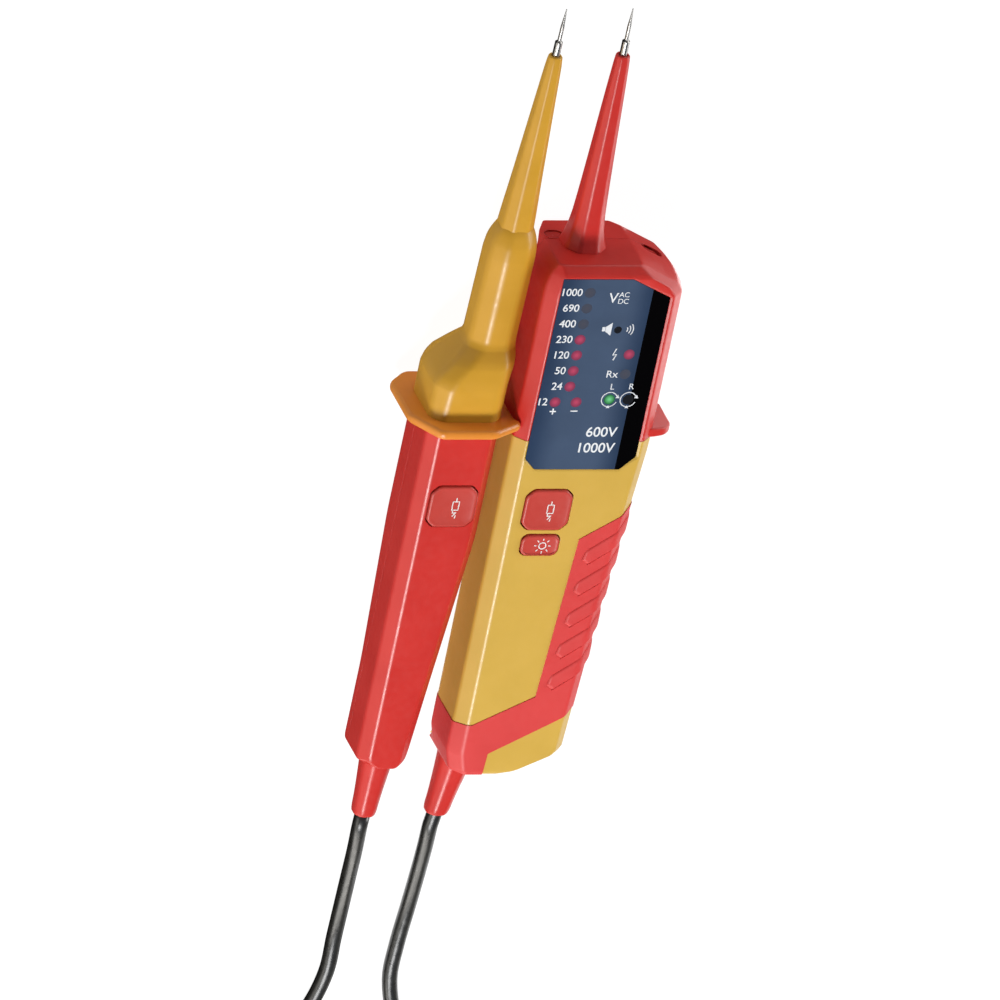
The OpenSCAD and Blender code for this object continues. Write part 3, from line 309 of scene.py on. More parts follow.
def eased(rings, reaches):
    """Rings with the turn at each inner one rounded from reach before it to reach after it."""
    steps = 3
    out = [rings[0]]
    for k in range(1, len(rings) - 1):
        before, here, after = rings[k - 1], rings[k], rings[k + 1]
        fa = min(reaches[k] / apart(here, before), 0.45)
        fb = min(reaches[k] / apart(here, after), 0.45)
        for s in range(steps + 1):
            t = s / steps
            turn = zip(before, here, after)
            out.append([h.lerp(a, fa).lerp(h, t).lerp(h.lerp(b, fb), t) for a, h, b in turn])
    out.append(rings[-1])
    return out


def inset(ring, by):
    centre = sum(ring, Vector()) / len(ring)
    return [p + (centre - p).normalized() * by for p in ring]


def skin(rings):
    """A mesh through rings of equally many points."""
    bm = bmesh.new()
    rows = [[bm.verts.new(p) for p in ring] for ring in rings]
    n = len(rings[0])
    for a, b in zip(rows, rows[1:]):
        for i in range(n):
            j = (i + 1) % n
            bm.faces.new((a[i], a[j], b[j], b[i]))
    bm.faces.new(rows[0][::-1])
    bm.faces.new(rows[-1])
    bmesh.ops.recalc_face_normals(bm, faces=bm.faces)
    return bm


def body_loft(stations, corner, reaches, first_inset, last_inset, g=0.0):
    """A body through stations, from its upper end down. With g its sides and lower end move outward."""
    rings = [rounded(ring_at(s, g), corner) for s in stations]
    rings = [inset(rings[0], first_inset)] + rings + [inset(rings[-1], last_inset)]
    rings[-2:] = [[p - Vector((0, g, 0)) for p in ring] for ring in rings[-2:]]
    return skin(eased(rings, [0, *reaches, 0]))


def clip(bm, point, keep):
    """Cuts a mesh by a plane, keeps the side that keep points to, and closes it."""
    geometry = bm.verts[:] + bm.edges[:] + bm.faces[:]
    cut = bmesh.ops.bisect_plane(bm, geom=geometry, plane_co=point, plane_no=keep, clear_inner=True)
    edges = [e for e in cut["geom_cut"] if isinstance(e, bmesh.types.BMEdge)]
    bmesh.ops.edgeloop_fill(bm, edges=edges)
    bmesh.ops.recalc_face_normals(bm, faces=bm.faces)
    return bm


def prism(outline, low, high):
    """A prism along Z over an outline in X and Y."""
    return skin([[Vector((x, y, z)) for x, y in outline] for z in (low, high)])


def prism_y(outline, low, high):
    """A prism along Y over an outline in X and Z."""
    return skin([[Vector((x, y, z)) for x, z in outline] for y in (low, high)])


def block(low, high):
    corners = [(low[0], low[1]), (high[0], low[1]), (high[0], high[1]), (low[0], high[1])]
    return prism(corners, low[2], high[2])


def circle(centre, radius, sides):
    turns = [2 * math.pi * i / sides for i in range(sides)]
    return [(centre[0] + radius * math.cos(a), centre[1] + radius * math.sin(a)) for a in turns]


def rod(centre, radius, low, high):
    return prism(circle(centre, radius, 40), low, high)


def to_object(name, bm):
    mesh = bpy.data.meshes.new(name)
    bm.to_mesh(mesh)
    bm.free()
    made = bpy.data.objects.new(name, mesh)
    scene.collection.objects.link(made)
    return made


def settled(obj):
    """Applies an object's modifiers to its mesh."""
    graph = bpy.context.evaluated_depsgraph_get()
    mesh = bpy.data.meshes.new_from_object(obj.evaluated_get(graph))
    obj.modifiers.clear()
    obj.data = mesh
    return obj


def carve(obj, *cutters, how="DIFFERENCE"):
    for bm in cutters:
        cutter = to_object("cutter", bm)
        mod = obj.modifiers.new("cut", "BOOLEAN")
        mod.operation = how
        mod.object = cutter
        mod.solver = "EXACT"
        settled(obj)
        bpy.data.objects.remove(cutter)
    return obj


def place(obj, mat, body, slot, *nodes, sharp=35.0, origin=None):
    """Finishes a piece that was made in millimetres: metres, shading, material, body and replaced nodes."""
    centre = Vector(origin) if origin else Vector()
    obj.data.transform(Matrix.Scale(MM, 4) @ Matrix.Translation(-centre))
    obj.location = centre * MM
    obj.data.polygons.foreach_set("use_smooth", [True] * len(obj.data.polygons))
    obj.data.set_sharp_from_angle(angle=math.radians(sharp))
    even = obj.modifiers.new("even", "WEIGHTED_NORMAL")
    even.keep_sharp = True
    settled(obj)
    obj.data.materials.clear()
    obj.data.materials.append(mat)
    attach(obj, body)
    if nodes:
        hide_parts(*nodes)
    return obj


# Main unit
UNIT_FRONT = 35.0
SEAM = 15.0
HAIR = 0.07
FRONT_CUT, BACK_LEFT, BACK_RIGHT = (4, 4), (10, 14), (6, 6)
SMALL_CUT = (0.8, 0.8)
UNIT_CUTS = (FRONT_CUT, FRONT_CUT, BACK_LEFT, BACK_RIGHT)
UNIT_LEFT, UNIT_RIGHT, UNIT_TOP = -15.8, 33, 66
HOOD = [
    [UNIT_TOP, -12.5, 17, 3, 32, SMALL_CUT, SMALL_CUT, (3, 6), (3, 3), 0.6],
    [63, -14.3, 23, 0, UNIT_FRONT, FRONT_CUT, (3.4, 3.4), BACK_LEFT, BACK_RIGHT, 1.4],
    [58, UNIT_LEFT, UNIT_RIGHT, 0, UNIT_FRONT, *UNIT_CUTS, 2.0],
    [HAIR, UNIT_LEFT, UNIT_RIGHT, 0, UNIT_FRONT, *UNIT_CUTS, 1.0]]
LOWER = [
    [-HAIR, UNIT_LEFT, UNIT_RIGHT, 0, UNIT_FRONT, *UNIT_CUTS, 1.0],
    [-4, UNIT_LEFT, UNIT_RIGHT, 0, UNIT_FRONT, *UNIT_CUTS, 0.7],
    [-62, -15.4, 28.5, 0, UNIT_FRONT, *UNIT_CUTS, 0.2],
    [-121.2, -15, 25.5, 0, UNIT_FRONT, *UNIT_CUTS, 0.0],
    [-127.6, -13.3, 9.5, 0, UNIT_FRONT, FRONT_CUT, SMALL_CUT, (4, 14), SMALL_CUT, 0.0],
    [-129, -12.5, 3.5, 4, 34.4, FRONT_CUT, SMALL_CUT, FRONT_CUT, SMALL_CUT, 0.0]]
CORNER = 1.0


def hood_mesh():
    return body_loft(HOOD, CORNER, [0.8, 1.6, 2.8, 0.15], 0.8, 0.1)


def lower_mesh(g=0.0):
    return body_loft(LOWER, CORNER, [0.1, 3.0, 9.0, 1.6, 1.2, 0.6], 0.1, 0.9, g)


WINDOW_OUTLINE = [
    (-11.2, 62.2), (13.4, 62.2), (27.7, 55.2), (27.7, -5.9), (22.7, -10.9), (-7.2, -10.9), (-11.2, -6.9)]


def flat_rounded(outline, reach):
    return [(p.x, p.y) for p in rounded([Vector((x, y, 0)) for x, y in outline], reach)]


def cut_rectangle(w, l, cut, centre):
    """A rectangle in X and Y with its four corners cut."""
    x, y = w / 2, l / 2
    corners = [(-x + cut, y), (x - cut, y), (x, y - cut), (x, -y + cut), (x - cut, -y), (-x + cut, -y),
               (-x, -y + cut), (-x, y - cut)]
    return [(a + centre[0], b + centre[1]) for a, b in corners]


def window_cutter():
    """The opening for the pane, with a sloping frame in front of it."""
    flat = [Vector((x, y, 0)) for x, y in flat_rounded(WINDOW_OUTLINE, 0.5)]
    wide = grow_outline(flat, 0.9)
    steps = [(flat, 33.1), (flat, 34.5), (wide, 35.02), (wide, 38)]
    return skin([[p + Vector((0, 0, z)) for p in ring] for ring, z in steps])


def moved(bm, offset, turn=0.0):
    bmesh.ops.rotate(bm, verts=bm.verts, cent=(0, 0, 0), matrix=Matrix.Rotation(turn, 3, "Z"))
    bmesh.ops.translate(bm, verts=bm.verts, vec=offset)
    return bm


# Torch lenses in the hood's top: width, middle, turn, depth of the opening and how far the rim stands out
LENS_H = 5.0
TORCHES = {
    "right": (8.5, Vector((25.4, 61.8, 15.9)), -math.atan2(8, 16), 6, 0.2),
    "left": (6.6, Vector((-8.3, UNIT_TOP, 12.2)), 0, 4.4, 0.15)}


def lens_slot(side, low, high, wider=0.0):
    """A stadium in the hood's top at one of the lenses, from the depth low down to the depth high."""
    width, middle, turn, _, _ = TORCHES[side]
    radius, straight = (LENS_H + wider) / 2, (width - LENS_H) / 2
    outline = []
    for end in (1, -1):
        for k in range(9):
            a = math.pi * k / 8 - math.pi / 2
            outline.append((end * (straight + radius * math.cos(a)), end * radius * math.sin(a)))
    return moved(prism_y(outline, -high, -low), middle, turn)


def lens_cutters():
    return [lens_slot(side, -2, TORCHES[side][3]) for side in TORCHES]


HANDLE_FRONT = 33.6
BUTTON_GAP = 0.3
BUTTON_RISE = 0.8
# Buttons: middle, width, length, cut of the corners, the front that they stand in and their body
BUTTONS = {
    "load": ((0.2, -26.1), 16.4, 15.4, 2.6, UNIT_FRONT, "load_button"),
    "torch": ((0.3, -39.7), 13.3, 7.9, 1.6, UNIT_FRONT, "torch_button"),
    "handle": ((-32.9, -25.7), 16.4, 15.4, 2.6, HANDLE_FRONT, "handle_button")}


def button_cutters(key):
    """The opening round a button, and the room behind the wall for its flange."""
    centre, w, l, cut, front, _ = BUTTONS[key]
    w, l = w + 2 * BUTTON_GAP, l + 2 * BUTTON_GAP
    opening = prism(flat_rounded(cut_rectangle(w, l, cut, centre), 1.0), front - 4, front + 4)
    side = 0 if key == "handle" else 1.8
    room = prism(cut_rectangle(w + side, l + 2, cut, centre), front - 9, front - 2.2)
    return [opening, room]


def halves(mesh, seam, front_name, rear_name):
    """The two shells of a housing, on either side of a hair at its seam."""
    front = to_object(front_name, clip(mesh(), (0, 0, seam + HAIR), (0, 0, 1)))
    rear = to_object(rear_name, clip(mesh(), (0, 0, seam - HAIR), (0, 0, -1)))
    return front, rear


hood_front, hood_rear = halves(hood_mesh, SEAM, "hood_front", "hood_rear")
carve(hood_front, window_cutter(), *lens_cutters())
place(hood_front, RED, "main_unit", "red_shell", "display_hood")
carve(hood_rear, *lens_cutters())
place(hood_rear, RED, "main_unit", "red_shell", "hood_back")

front_housing, rear_housing = halves(lower_mesh, SEAM, "front_housing", "rear_housing")
carve(front_housing, window_cutter(), *button_cutters("load"), *button_cutters("torch"))
place(front_housing, YELLOW, "main_unit", "yellow_shell", "front_shell")

BAY_LEFT, BAY_RIGHT = -5.05, 17.45
DOOR_GAP = 0.3
DOOR_SCREW, DOOR_SCREW_HOLE_R = (6.2, -113.1), 1.7
SCREW_HOLE_R, SCREW_HOLE_TOP = 2.7, 6
carve(
    rear_housing,
    block((BAY_LEFT, -108.5, -1), (BAY_RIGHT, -58, 13.1)),
    block((BAY_LEFT - DOOR_GAP, -117.8, -1), (BAY_RIGHT + DOOR_GAP, -54.8, 2.1)),
    rod(DOOR_SCREW, DOOR_SCREW_HOLE_R, -1, 5.3),
    rod((23.9, -54), SCREW_HOLE_R, -1, SCREW_HOLE_TOP),
    rod((5, -121.2), SCREW_HOLE_R, -1, SCREW_HOLE_TOP),
)
# Room for the corner of the soft grip that reaches behind the seam
carve(rear_housing, block((-60, -200, 8.2), (-9.2, -110.8, 20)))
place(rear_housing, YELLOW, "main_unit", "yellow_shell", "rear_shell")

for side, (_, _, _, _, proud) in TORCHES.items():
    rim = to_object("lens_rim_" + side, lens_slot(side, -proud, 1.2, wider=0.9))
    carve(rim, lens_slot(side, -2, 3))
    place(rim, RED, "main_unit", "red_shell")
for side in TORCHES:
    torch_face = to_object("torch_face_" + side, lens_slot(side, 0.3, 3, wider=-0.1))
    place(torch_face, LENS, "main_unit", "lens_dark_red")

# Guard fin on the right of the hood
FIN_OUTLINE = [(29.5, 32.5), (33, 32.6), (37.6, 31.4), (40.2, 28.6), (40.2, 24), (40.2, 15.2), (31.5, 15.2)]
fin_ring = rounded([Vector((x, 0, z)) for x, z in FIN_OUTLINE], 1.4, 4)


def plate(ring, low, high, edge):
    """A plate across Y with its rim rounded by edge."""
    rings = []
    turns = (0, 30, 60, 90)
    for y, side, turn in [(low, 1, t) for t in turns] + [(high, -1, t) for t in turns[::-1]]:
        by = edge * (1 - math.sin(math.radians(turn)))
        rise = edge * (1 - math.cos(math.radians(turn)))
        rings.append([p + Vector((0, y + side * rise, 0)) for p in inset(ring, by)])
    return skin(rings)


fin = to_object("guard_fin", plate(fin_ring, 0.1, 3.5, 0.9))
place(fin, RED, "main_unit", "red_shell")

# Soft grip
GRIP_RISE = 0.25
GRIP_TOP_SLOPE = 0.667
FAR = 200
GRIP_REGION = [
    (FAR, -24.7 + (FAR - UNIT_RIGHT) * GRIP_TOP_SLOPE), (13.8, -37.5), (10.5, -98.5), (-9.6, -109.6),
    (-16.8, -110.6), (-FAR, -110.6), (-FAR, -FAR), (-2.4, -FAR), (-2.4, -129), (-2, -120.7), (25.5, -104.4),
    (FAR, -104.4)]
SECTION_START = 5


def grip_section(y):
    """The grip's outline at height y, from its front to the back of its right side."""
    high, low = LOWER[1:3] if y > LOWER[2][0] else LOWER[2:4]
    t = (high[0] - y) / (high[0] - low[0])
    numbers = [a + (b - a) * t for a, b in zip(high[:5] + high[-1:], low[:5] + low[-1:])]
    ring = ring_at([y, *numbers[1:5], *UNIT_CUTS, numbers[5]], GRIP_RISE)
    return [Vector((SECTION_START, y, UNIT_FRONT + GRIP_RISE))] + rounded(ring, CORNER)[4:-20]


def on_section(y, along):
    """The point and outward direction on the section at a length along it."""
    points = grip_section(y)
    for a, b in zip(points, points[1:]):
        step = (b - a).length
        if along <= step or b is points[-1]:
            forward = (b - a).normalized()
            return a + forward * along, Vector((-forward.z, 0, forward.x))
        along -= step


STRIP_WIDTH, STRIP_SLOPE, STRIP_RUN = 6.0, 0.75, 22.0


def strip_mesh(x0, y0, across):
    """A strip over the grip's front and right side. Across it, pairs of a share of its width and a height."""
    bm = bmesh.new()
    steps = 48
    rows = []
    for i in range(steps + 1):
        row = []
        for share, height in across:
            start = -2.6 * min(max(share, 0) / 0.6, 1) + 1.5 * max(0, share - 0.6) / 0.4
            s = start + (STRIP_RUN - start) * (i / steps) ** 1.3
            fade = min(1.0, (s - start) / 0.7) * min(1.0, (STRIP_RUN - s) / 3.0)
            y = y0 + STRIP_SLOPE * s + share * STRIP_WIDTH
            point, out = on_section(y, x0 - SECTION_START + s)
            where = point + out * (height * fade if height > 0 else height)
            row.append(bm.verts.new((where.x, y, where.z)))
        rows.append(row)
    for a, b in zip(rows, rows[1:]):
        for k in range(len(across)):
            bm.faces.new((a[k - 1], b[k - 1], b[k], a[k]))
    bm.faces.new(rows[0])
    bm.faces.new(rows[-1][::-1])
    bmesh.ops.recalc_face_normals(bm, faces=bm.faces)
    return bm


RIB_SHARES = [
    (0.0, -0.2), (0.0, 0.3), (0.02, 0.54), (0.06, 0.68), (0.13, 0.70), (0.5, 0.60), (0.84, 0.44),
    (0.92, 0.36), (0.97, 0.18), (1.0, 0.02), (1.0, -0.2)]
GROOVE_SHARES = [(-0.10, -0.2), (-0.01, -0.2), (-0.01, 0.6), (-0.10, 0.6)]
RIB_COUNT, RIB_PITCH, RIB_SHIFT = 5, 12.15, 0.73
RIB_STARTS = [(18.4 - RIB_SHIFT * i, -46.9 - RIB_PITCH * i) for i in range(RIB_COUNT)]

grip = to_object("soft_grip", clip(lower_mesh(GRIP_RISE), (0, 0, 8), (0, 0, 1)))
carve(grip, block((-9, -FAR, 0), (60, 0, SEAM + HAIR)))
carve(grip, prism(GRIP_REGION, 10, 60), how="INTERSECT")
carve(grip, *[strip_mesh(x, y, GROOVE_SHARES) for x, y in RIB_STARTS])
place(grip, GRIP, "main_unit", "red_grip", "grip_overlay")
for i, (x, y) in enumerate(RIB_STARTS):
    rib = to_object("grip_rib_%d" % (i + 1), strip_mesh(x, y, RIB_SHARES))
    place(rib, GRIP, "main_unit", "red_grip", sharp=30)

# Push buttons
DISH_DEPTH = 0.45


def key_height(x, y, w, l):
    """Height of a button's dished top above its rim's plane."""
    share = min(1.0, max(abs(x) / (w / 2), abs(y) / (l / 2)))
    return -DISH_DEPTH * (1 - share ** 2.4) * min(1.0, (1 - share) * 4 + 0.2)


DISH_SHARES = (0.86, 0.78, 0.68, 0.55, 0.4, 0.25, 0.1)


def button_mesh(key):
    """A button with a rounded rim and a dished top."""
    (cx, cy), w, l, cut, front, _ = BUTTONS[key]
    outline = flat_rounded(cut_rectangle(w, l, cut, (0, 0)), 1.0)
    top = front + BUTTON_RISE
    edge = 0.7
    rings = []
    for z in (front - 3.3, front - 1.5, top - edge):
        rings.append([Vector((cx + x, cy + y, z)) for x, y in outline])
    for turn in (30, 60, 90):
        k = edge * (1 - math.cos(math.radians(turn)))
        z = top - edge + edge * math.sin(math.radians(turn))
        rings.append([Vector((cx + x * (1 - 2 * k / w), cy + y * (1 - 2 * k / l), z)) for x, y in outline])
    for share in DISH_SHARES:
        inner = [(x * share, y * share) for x, y in outline]
        rings.append([Vector((cx + x, cy + y, top + key_height(x, y, w, l))) for x, y in inner])
    return skin(rings)


for key, (*_, body) in BUTTONS.items():
    button = to_object(key + "_key", button_mesh(key))
    place(button, RED_KEY, body, "red_button", body, sharp=50)

# Probe sleeves
SLEEVE_END_W = 5.2
SLEEVE_SHARES = [
    (1, -0.09), (0.97, -0.04), (0.9, 0.02), (0.77, 0.12), (0.55, 0.27), (0.34, 0.42), (0.2, 0.54),
    (0.12, 0.63), (0.05, 0.83), (0, 1.1)]


def square_ring(centre, w, cut_share, reach_share):
    """A square across Y with its corners cut and rounded."""
    h, c = w / 2, w * cut_share
    corners = cut_box(-h, h, -h, h, (c, c), (c, c), (c, c), (c, c))
    return rounded([Vector((centre[0] + x, centre[1], centre[2] + z)) for x, z in corners], w * reach_share)


def sleeve_mesh(length, root_w, width_shares):
    """A sleeve along Y from its root, with a small socket round the rod at its end."""
    widths = [(p * length, SLEEVE_END_W + (root_w - SLEEVE_END_W) * s) for p, s in width_shares]
    rings = [square_ring((0, y, 0), w, 0.27, 0.09) for y, w in widths]
    lip = [Vector((p.x * 0.62, p.y, p.z * 0.62)) for p in rings[0]]
    socket = [p - Vector((0, 0.7, 0)) for p in lip]
    rings = [socket, lip] + rings + [inset(rings[-1], 0.3)]
    return skin(eased(rings, [0, 0.15, 0.35] + [3.0] * (len(width_shares) - 2) + [0.1, 0]))


UNIT_AXIS_Z = 17.5
sleeve = to_object("unit_sleeve", moved(sleeve_mesh(72, 14, SLEEVE_SHARES), (0, UNIT_TOP, UNIT_AXIS_Z)))
place(sleeve, RED, "main_unit", "red_shell", "probe_sleeve")

LEAN = math.radians(1.2)
NECK_X, NECK_FOOT, NECK_HALF, AXIS_Z = -26.9, 33, 8.5, 20


def neck_centre(y):
    return NECK_X + (y - NECK_FOOT) * math.tan(LEAN)


HANDLE_SLEEVE_SHARES = [
    (1, -0.12), (0.97, -0.04), (0.91, 0.03), (0.503, 0.41), (0.30, 0.60), (0.182, 0.73), (0.12, 0.80),
    (0, 0.9)]
SLEEVE_ROOT_Y = 72
handle_root = Vector((neck_centre(SLEEVE_ROOT_Y), SLEEVE_ROOT_Y, AXIS_Z))
sleeve = to_object("handle_sleeve", moved(sleeve_mesh(67, 12.6, HANDLE_SLEEVE_SHARES), handle_root, -LEAN))
place(sleeve, COLLAR_YELLOW, "handle", "yellow_shell", "handle_probe_sleeve")

# Probe handle
SIDE_BACK, SIDE_LOW, HANDLE_CUT = (4, 6.5), (6, 11), (3.6, 3.6)
HANDLE_LEFT, HANDLE_RIGHT, HANDLE_BACK = -46.2, -20.6, 6
UPPER_CUTS = (HANDLE_CUT, HANDLE_CUT, SIDE_BACK, SIDE_BACK)
LOWER_CUTS = (HANDLE_CUT, HANDLE_CUT, SIDE_LOW, SIDE_LOW)
HANDLE = [
    [3, HANDLE_LEFT, HANDLE_RIGHT, HANDLE_BACK, HANDLE_FRONT, *UPPER_CUTS],
    [-40, HANDLE_LEFT, HANDLE_RIGHT, HANDLE_BACK, HANDLE_FRONT, *UPPER_CUTS],
    [-95, HANDLE_LEFT, -25.6, HANDLE_BACK, HANDLE_FRONT, *LOWER_CUTS],
    [-122, HANDLE_LEFT, -27.9, HANDLE_BACK, HANDLE_FRONT, *LOWER_CUTS],
    [-125.8, -43.2, -28.8, 8.4, 33.3, (2.4, 2.4), (2.6, 2.6), (3.4, 6), (3.4, 6)],
    [-128, -40.2, -31, 10, 33, (1.8, 1.8), (1.8, 1.8), (1.8, 1.8), (1.8, 1.8)]]
FOOT_DROP = 3.4


def handle_mesh():
    """The handle, whose foot reaches further down on its left side."""
    bm = body_loft(HANDLE, CORNER, [0.1, 3.0, 3.0, 1.4, 1.2, 0.6], 0.1, 0.8)
    for v in bm.verts:
        near = min(max((-110 - v.co.y) / 12, 0), max((v.co.y + 128) / 6, 0), 1)
        left = min(max((-30 - v.co.x) / 16, 0), 1)
        v.co.y -= FOOT_DROP * near * left
    return bm


HANDLE_SEAM = 20.0
HANDLE_HOLE_TOP = 12
handle_front, handle_rear = halves(handle_mesh, HANDLE_SEAM, "handle_front", "handle_rear")
carve(handle_front, *button_cutters("handle"))
place(handle_front, RED, "handle", "red_shell", "handle_front_shell")
carve(handle_rear, *[rod(p, SCREW_HOLE_R, -1, HANDLE_HOLE_TOP) for p in ((-33, -66), (-35.5, -112))])
place(handle_rear, RED, "handle", "red_shell", "handle_rear_shell")


def neck_station(y, half, cut):
    c = neck_centre(y)
    return [y, c - half, c + half, AXIS_Z - half, AXIS_Z + half, cut, cut, cut, cut]


NECK_CUT = (4.6, 4.6)
COLLAR = [
    neck_station(74.8, 5.8, (3.1, 3.1)),
    neck_station(73.8, 6.4, (3.4, 3.4)),
    neck_station(70.5, 7.7, (4.1, 4.1)),
    neck_station(66, 8.4, (4.5, 4.5)),
    neck_station(32, NECK_HALF, NECK_CUT),
    [27, -40.2, neck_centre(27) + NECK_HALF, 8.9, 32.2, NECK_CUT, NECK_CUT, NECK_CUT, NECK_CUT],
    [20, HANDLE_LEFT, -20.55, HANDLE_BACK, HANDLE_FRONT, NECK_CUT, HANDLE_CUT, SIDE_BACK, SIDE_BACK],
    [3.2, HANDLE_LEFT, HANDLE_RIGHT, HANDLE_BACK, HANDLE_FRONT, *UPPER_CUTS]]
COLLAR_REACHES = [0.1, 0.8, 1.5, 2.2, 1.8, 2.0, 2.4, 0.1]
collar = to_object("yellow_collar", body_loft(COLLAR, 1.8, COLLAR_REACHES, 0.2, 0.1))
place(collar, COLLAR_YELLOW, "handle", "yellow_shell", "handle_collar")

GUARD_OUTLINE = [
    (-44.4, 39.6), (-24.9, 39.6), (-14.2, 33.4), (-16.2, 31.4), (-16.2, 14), (-26, 0), (-45.6, 0),
    (-52.4, 6.6), (-52.6, 27.9)]
guard_ring = rounded([Vector((x, 0, z)) for x, z in GUARD_OUTLINE], 2.0, 4)
# The guard's more orange yellow is painted shade and painted red bounce light
guard = to_object("hand_guard", plate(guard_ring, 3.0, 6.5, 1.4))
place(guard, GUARD_YELLOW_PAINTED_SHADE, "handle", "yellow_shell")

# Strain relief boots
BOOT_END_W = 7.5
BOOT_SHARES = [(0, 1), (0.12, 0.82), (0.5, 0.42), (0.8, 0.2), (0.93, 0.16), (1, 0)]


def boot_mesh(root, end, root_w):
    """A boot that tapers from its root to the cord, with a socket at its end."""
    widths = [(root.lerp(end, p), BOOT_END_W + (root_w - BOOT_END_W) * s) for p, s in BOOT_SHARES]
    rings = [square_ring(at, w, 0.26, 0.13) for at, w in widths]
    lip = [end + (p - end) * 0.74 for p in rings[-1]]
    socket = [p + Vector((0, 1.2, 0)) for p in lip]
    rings = [inset(rings[0], 0.4)] + rings + [lip, socket]
    return skin(eased(rings, [0, 0.1, 1.0, 4.0, 1.6, 0.8, 0.3, 0.2, 0]))


UNIT_EXIT = Vector((-8.4, -153.6, UNIT_AXIS_Z))
HANDLE_EXIT = Vector((-35, -152.6, AXIS_Z))
boot = to_object("unit_boot", boot_mesh(Vector((-5.2, -128.6, UNIT_AXIS_Z)), UNIT_EXIT, 12.6))
place(boot, RED, "main_unit", "red_shell", "strain_relief", sharp=45)
boot = to_object("handle_boot", boot_mesh(Vector((-34.4, -127.6, AXIS_Z)), HANDLE_EXIT, 11.5))
place(boot, RED, "handle", "red_shell", "handle_strain_relief", sharp=45)

# Cord: the same points as the CAD model's route
CORD_R = 2.65
COIL_CENTRE, COIL_OUTER, COIL_IN, PITCH, LAYER = (-17, -282), 35.35, 2.5, 6.6, 6.6
COIL_TURNS = 2 * COIL_IN + 0.5
coil_start = Vector((COIL_CENTRE[0] - COIL_OUTER, COIL_CENTRE[1], CORD_R))
coil_end = Vector((COIL_CENTRE[0] + COIL_OUTER, COIL_CENTRE[1], CORD_R + LAYER))
LEAD_LENGTH = 5.3
LEAD = Vector((0, LEAD_LENGTH, 0))
UNIT_LEAD = Vector((-3.2, -24.6, 0)).normalized() * LEAD_LENGTH
HANDLE_LEAD = Vector((-0.6, -24.6, 0)).normalized() * LEAD_LENGTH
UNIT_ROUTE = [UNIT_EXIT, UNIT_EXIT + UNIT_LEAD] + [Vector(p) for p in (
    (-8, -170, 14.5), (-6.7, -184, 10.2), (-5.9, -198, 6.6), (-6.1, -214, 4.7), (-5.8, -228, 4.5),
    (-1, -243, 5), (8, -256, 6.5), (15, -266, 8.2))] + [coil_end + LEAD, coil_end]
HANDLE_ROUTE = [HANDLE_EXIT, HANDLE_EXIT + HANDLE_LEAD] + [Vector(p) for p in (
    (-33.5, -170, 16.5), (-31.3, -184, 11), (-29.4, -198, 6.2), (-28.3, -212, 3.2), (-28.3, -226, 2.8),
    (-32, -240, 2.65), (-40, -254, 2.65), (-48, -266, 2.65))] + [coil_start + LEAD, coil_start]


def curve_at(points, t):
    """The point at t on a smooth curve that meets each of the points at a whole t."""
    n = len(points)
    k = min(int(t), n - 2)
    f = t - k
    a, b, c, d = points[max(k - 1, 0)], points[k], points[k + 1], points[min(k + 2, n - 1)]
    bend = (2 * a - 5 * b + 4 * c - d) * f * f + (3 * b - a - 3 * c + d) * f ** 3
    return (2 * b + (c - a) * f + bend) / 2


def run_line(route):
    steps = 72
    last = len(route) - 1
    inner = [curve_at(route, 1 + (last - 2) * i / steps) for i in range(steps + 1)]
    return [route[0]] + inner + [route[-1]]


def coil_point(turn):
    """A point of the coil's two layers: inward on the floor, then outward on top."""
    if turn <= COIL_IN:
        r = COIL_OUTER - PITCH * turn
    elif turn <= COIL_IN + 0.5:
        r = COIL_OUTER - PITCH * COIL_IN
    else:
        r = COIL_OUTER - PITCH * (COIL_TURNS - turn)
    rise = LAYER * min(max((turn - COIL_IN) / 0.5, 0), 1)
    a = 2 * math.pi * turn
    return Vector((COIL_CENTRE[0] - r * math.cos(a), COIL_CENTRE[1] - r * math.sin(a), CORD_R + rise))


def tube(line, radius):
    sides = 14
    rings = []
    for i, at in enumerate(line):
        forward = (line[min(i + 1, len(line) - 1)] - line[max(i - 1, 0)]).normalized()
        side = forward.cross(Vector((0, 0, 1))).normalized()
        up = side.cross(forward)
        turns = [2 * math.pi * k / sides for k in range(sides)]
        rings.append([at + (side * math.cos(a) + up * math.sin(a)) * radius for a in turns])
    return skin(rings)


COIL_STEPS = 48
coil_line = [coil_point(COIL_TURNS - i / COIL_STEPS) for i in range(1, int(COIL_STEPS * COIL_TURNS) + 1)]
main_line = run_line(UNIT_ROUTE) + coil_line
main_cord = to_object("cord_with_coil", tube(main_line, CORD_R))
place(main_cord, CORD, "main_unit", "cord_black", "cord_run_unit", "cord_coil")

handle_line = run_line(HANDLE_ROUTE)
handle_cord = to_object("cord_to_handle", tube(handle_line, CORD_R))
handle_cord.data.transform(Matrix.Scale(MM, 4))
handle_cord.data.polygons.foreach_set("use_smooth", [True] * len(handle_cord.data.polygons))
handle_cord.data.materials.append(CORD)
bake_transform(handle_cord)
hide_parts("cord_run_handle")


# Print on the window and the buttons
PANE_TOP = 34.6
PRINT_HALF = 0.01
THIN, PLAIN = 0.006, 0.012


def add_mesh(target, mesh, matrix):
    mesh.transform(matrix)
    target.from_mesh(mesh)
    bpy.data.meshes.remove(mesh)


def add_curve(target, curve, matrix):
    holder = bpy.data.objects.new("curve", curve)
    scene.collection.objects.link(holder)
    graph = bpy.context.evaluated_depsgraph_get()
    mesh = bpy.data.meshes.new_from_object(holder.evaluated_get(graph))
    bpy.data.objects.remove(holder)
    add_mesh(target, mesh, matrix)


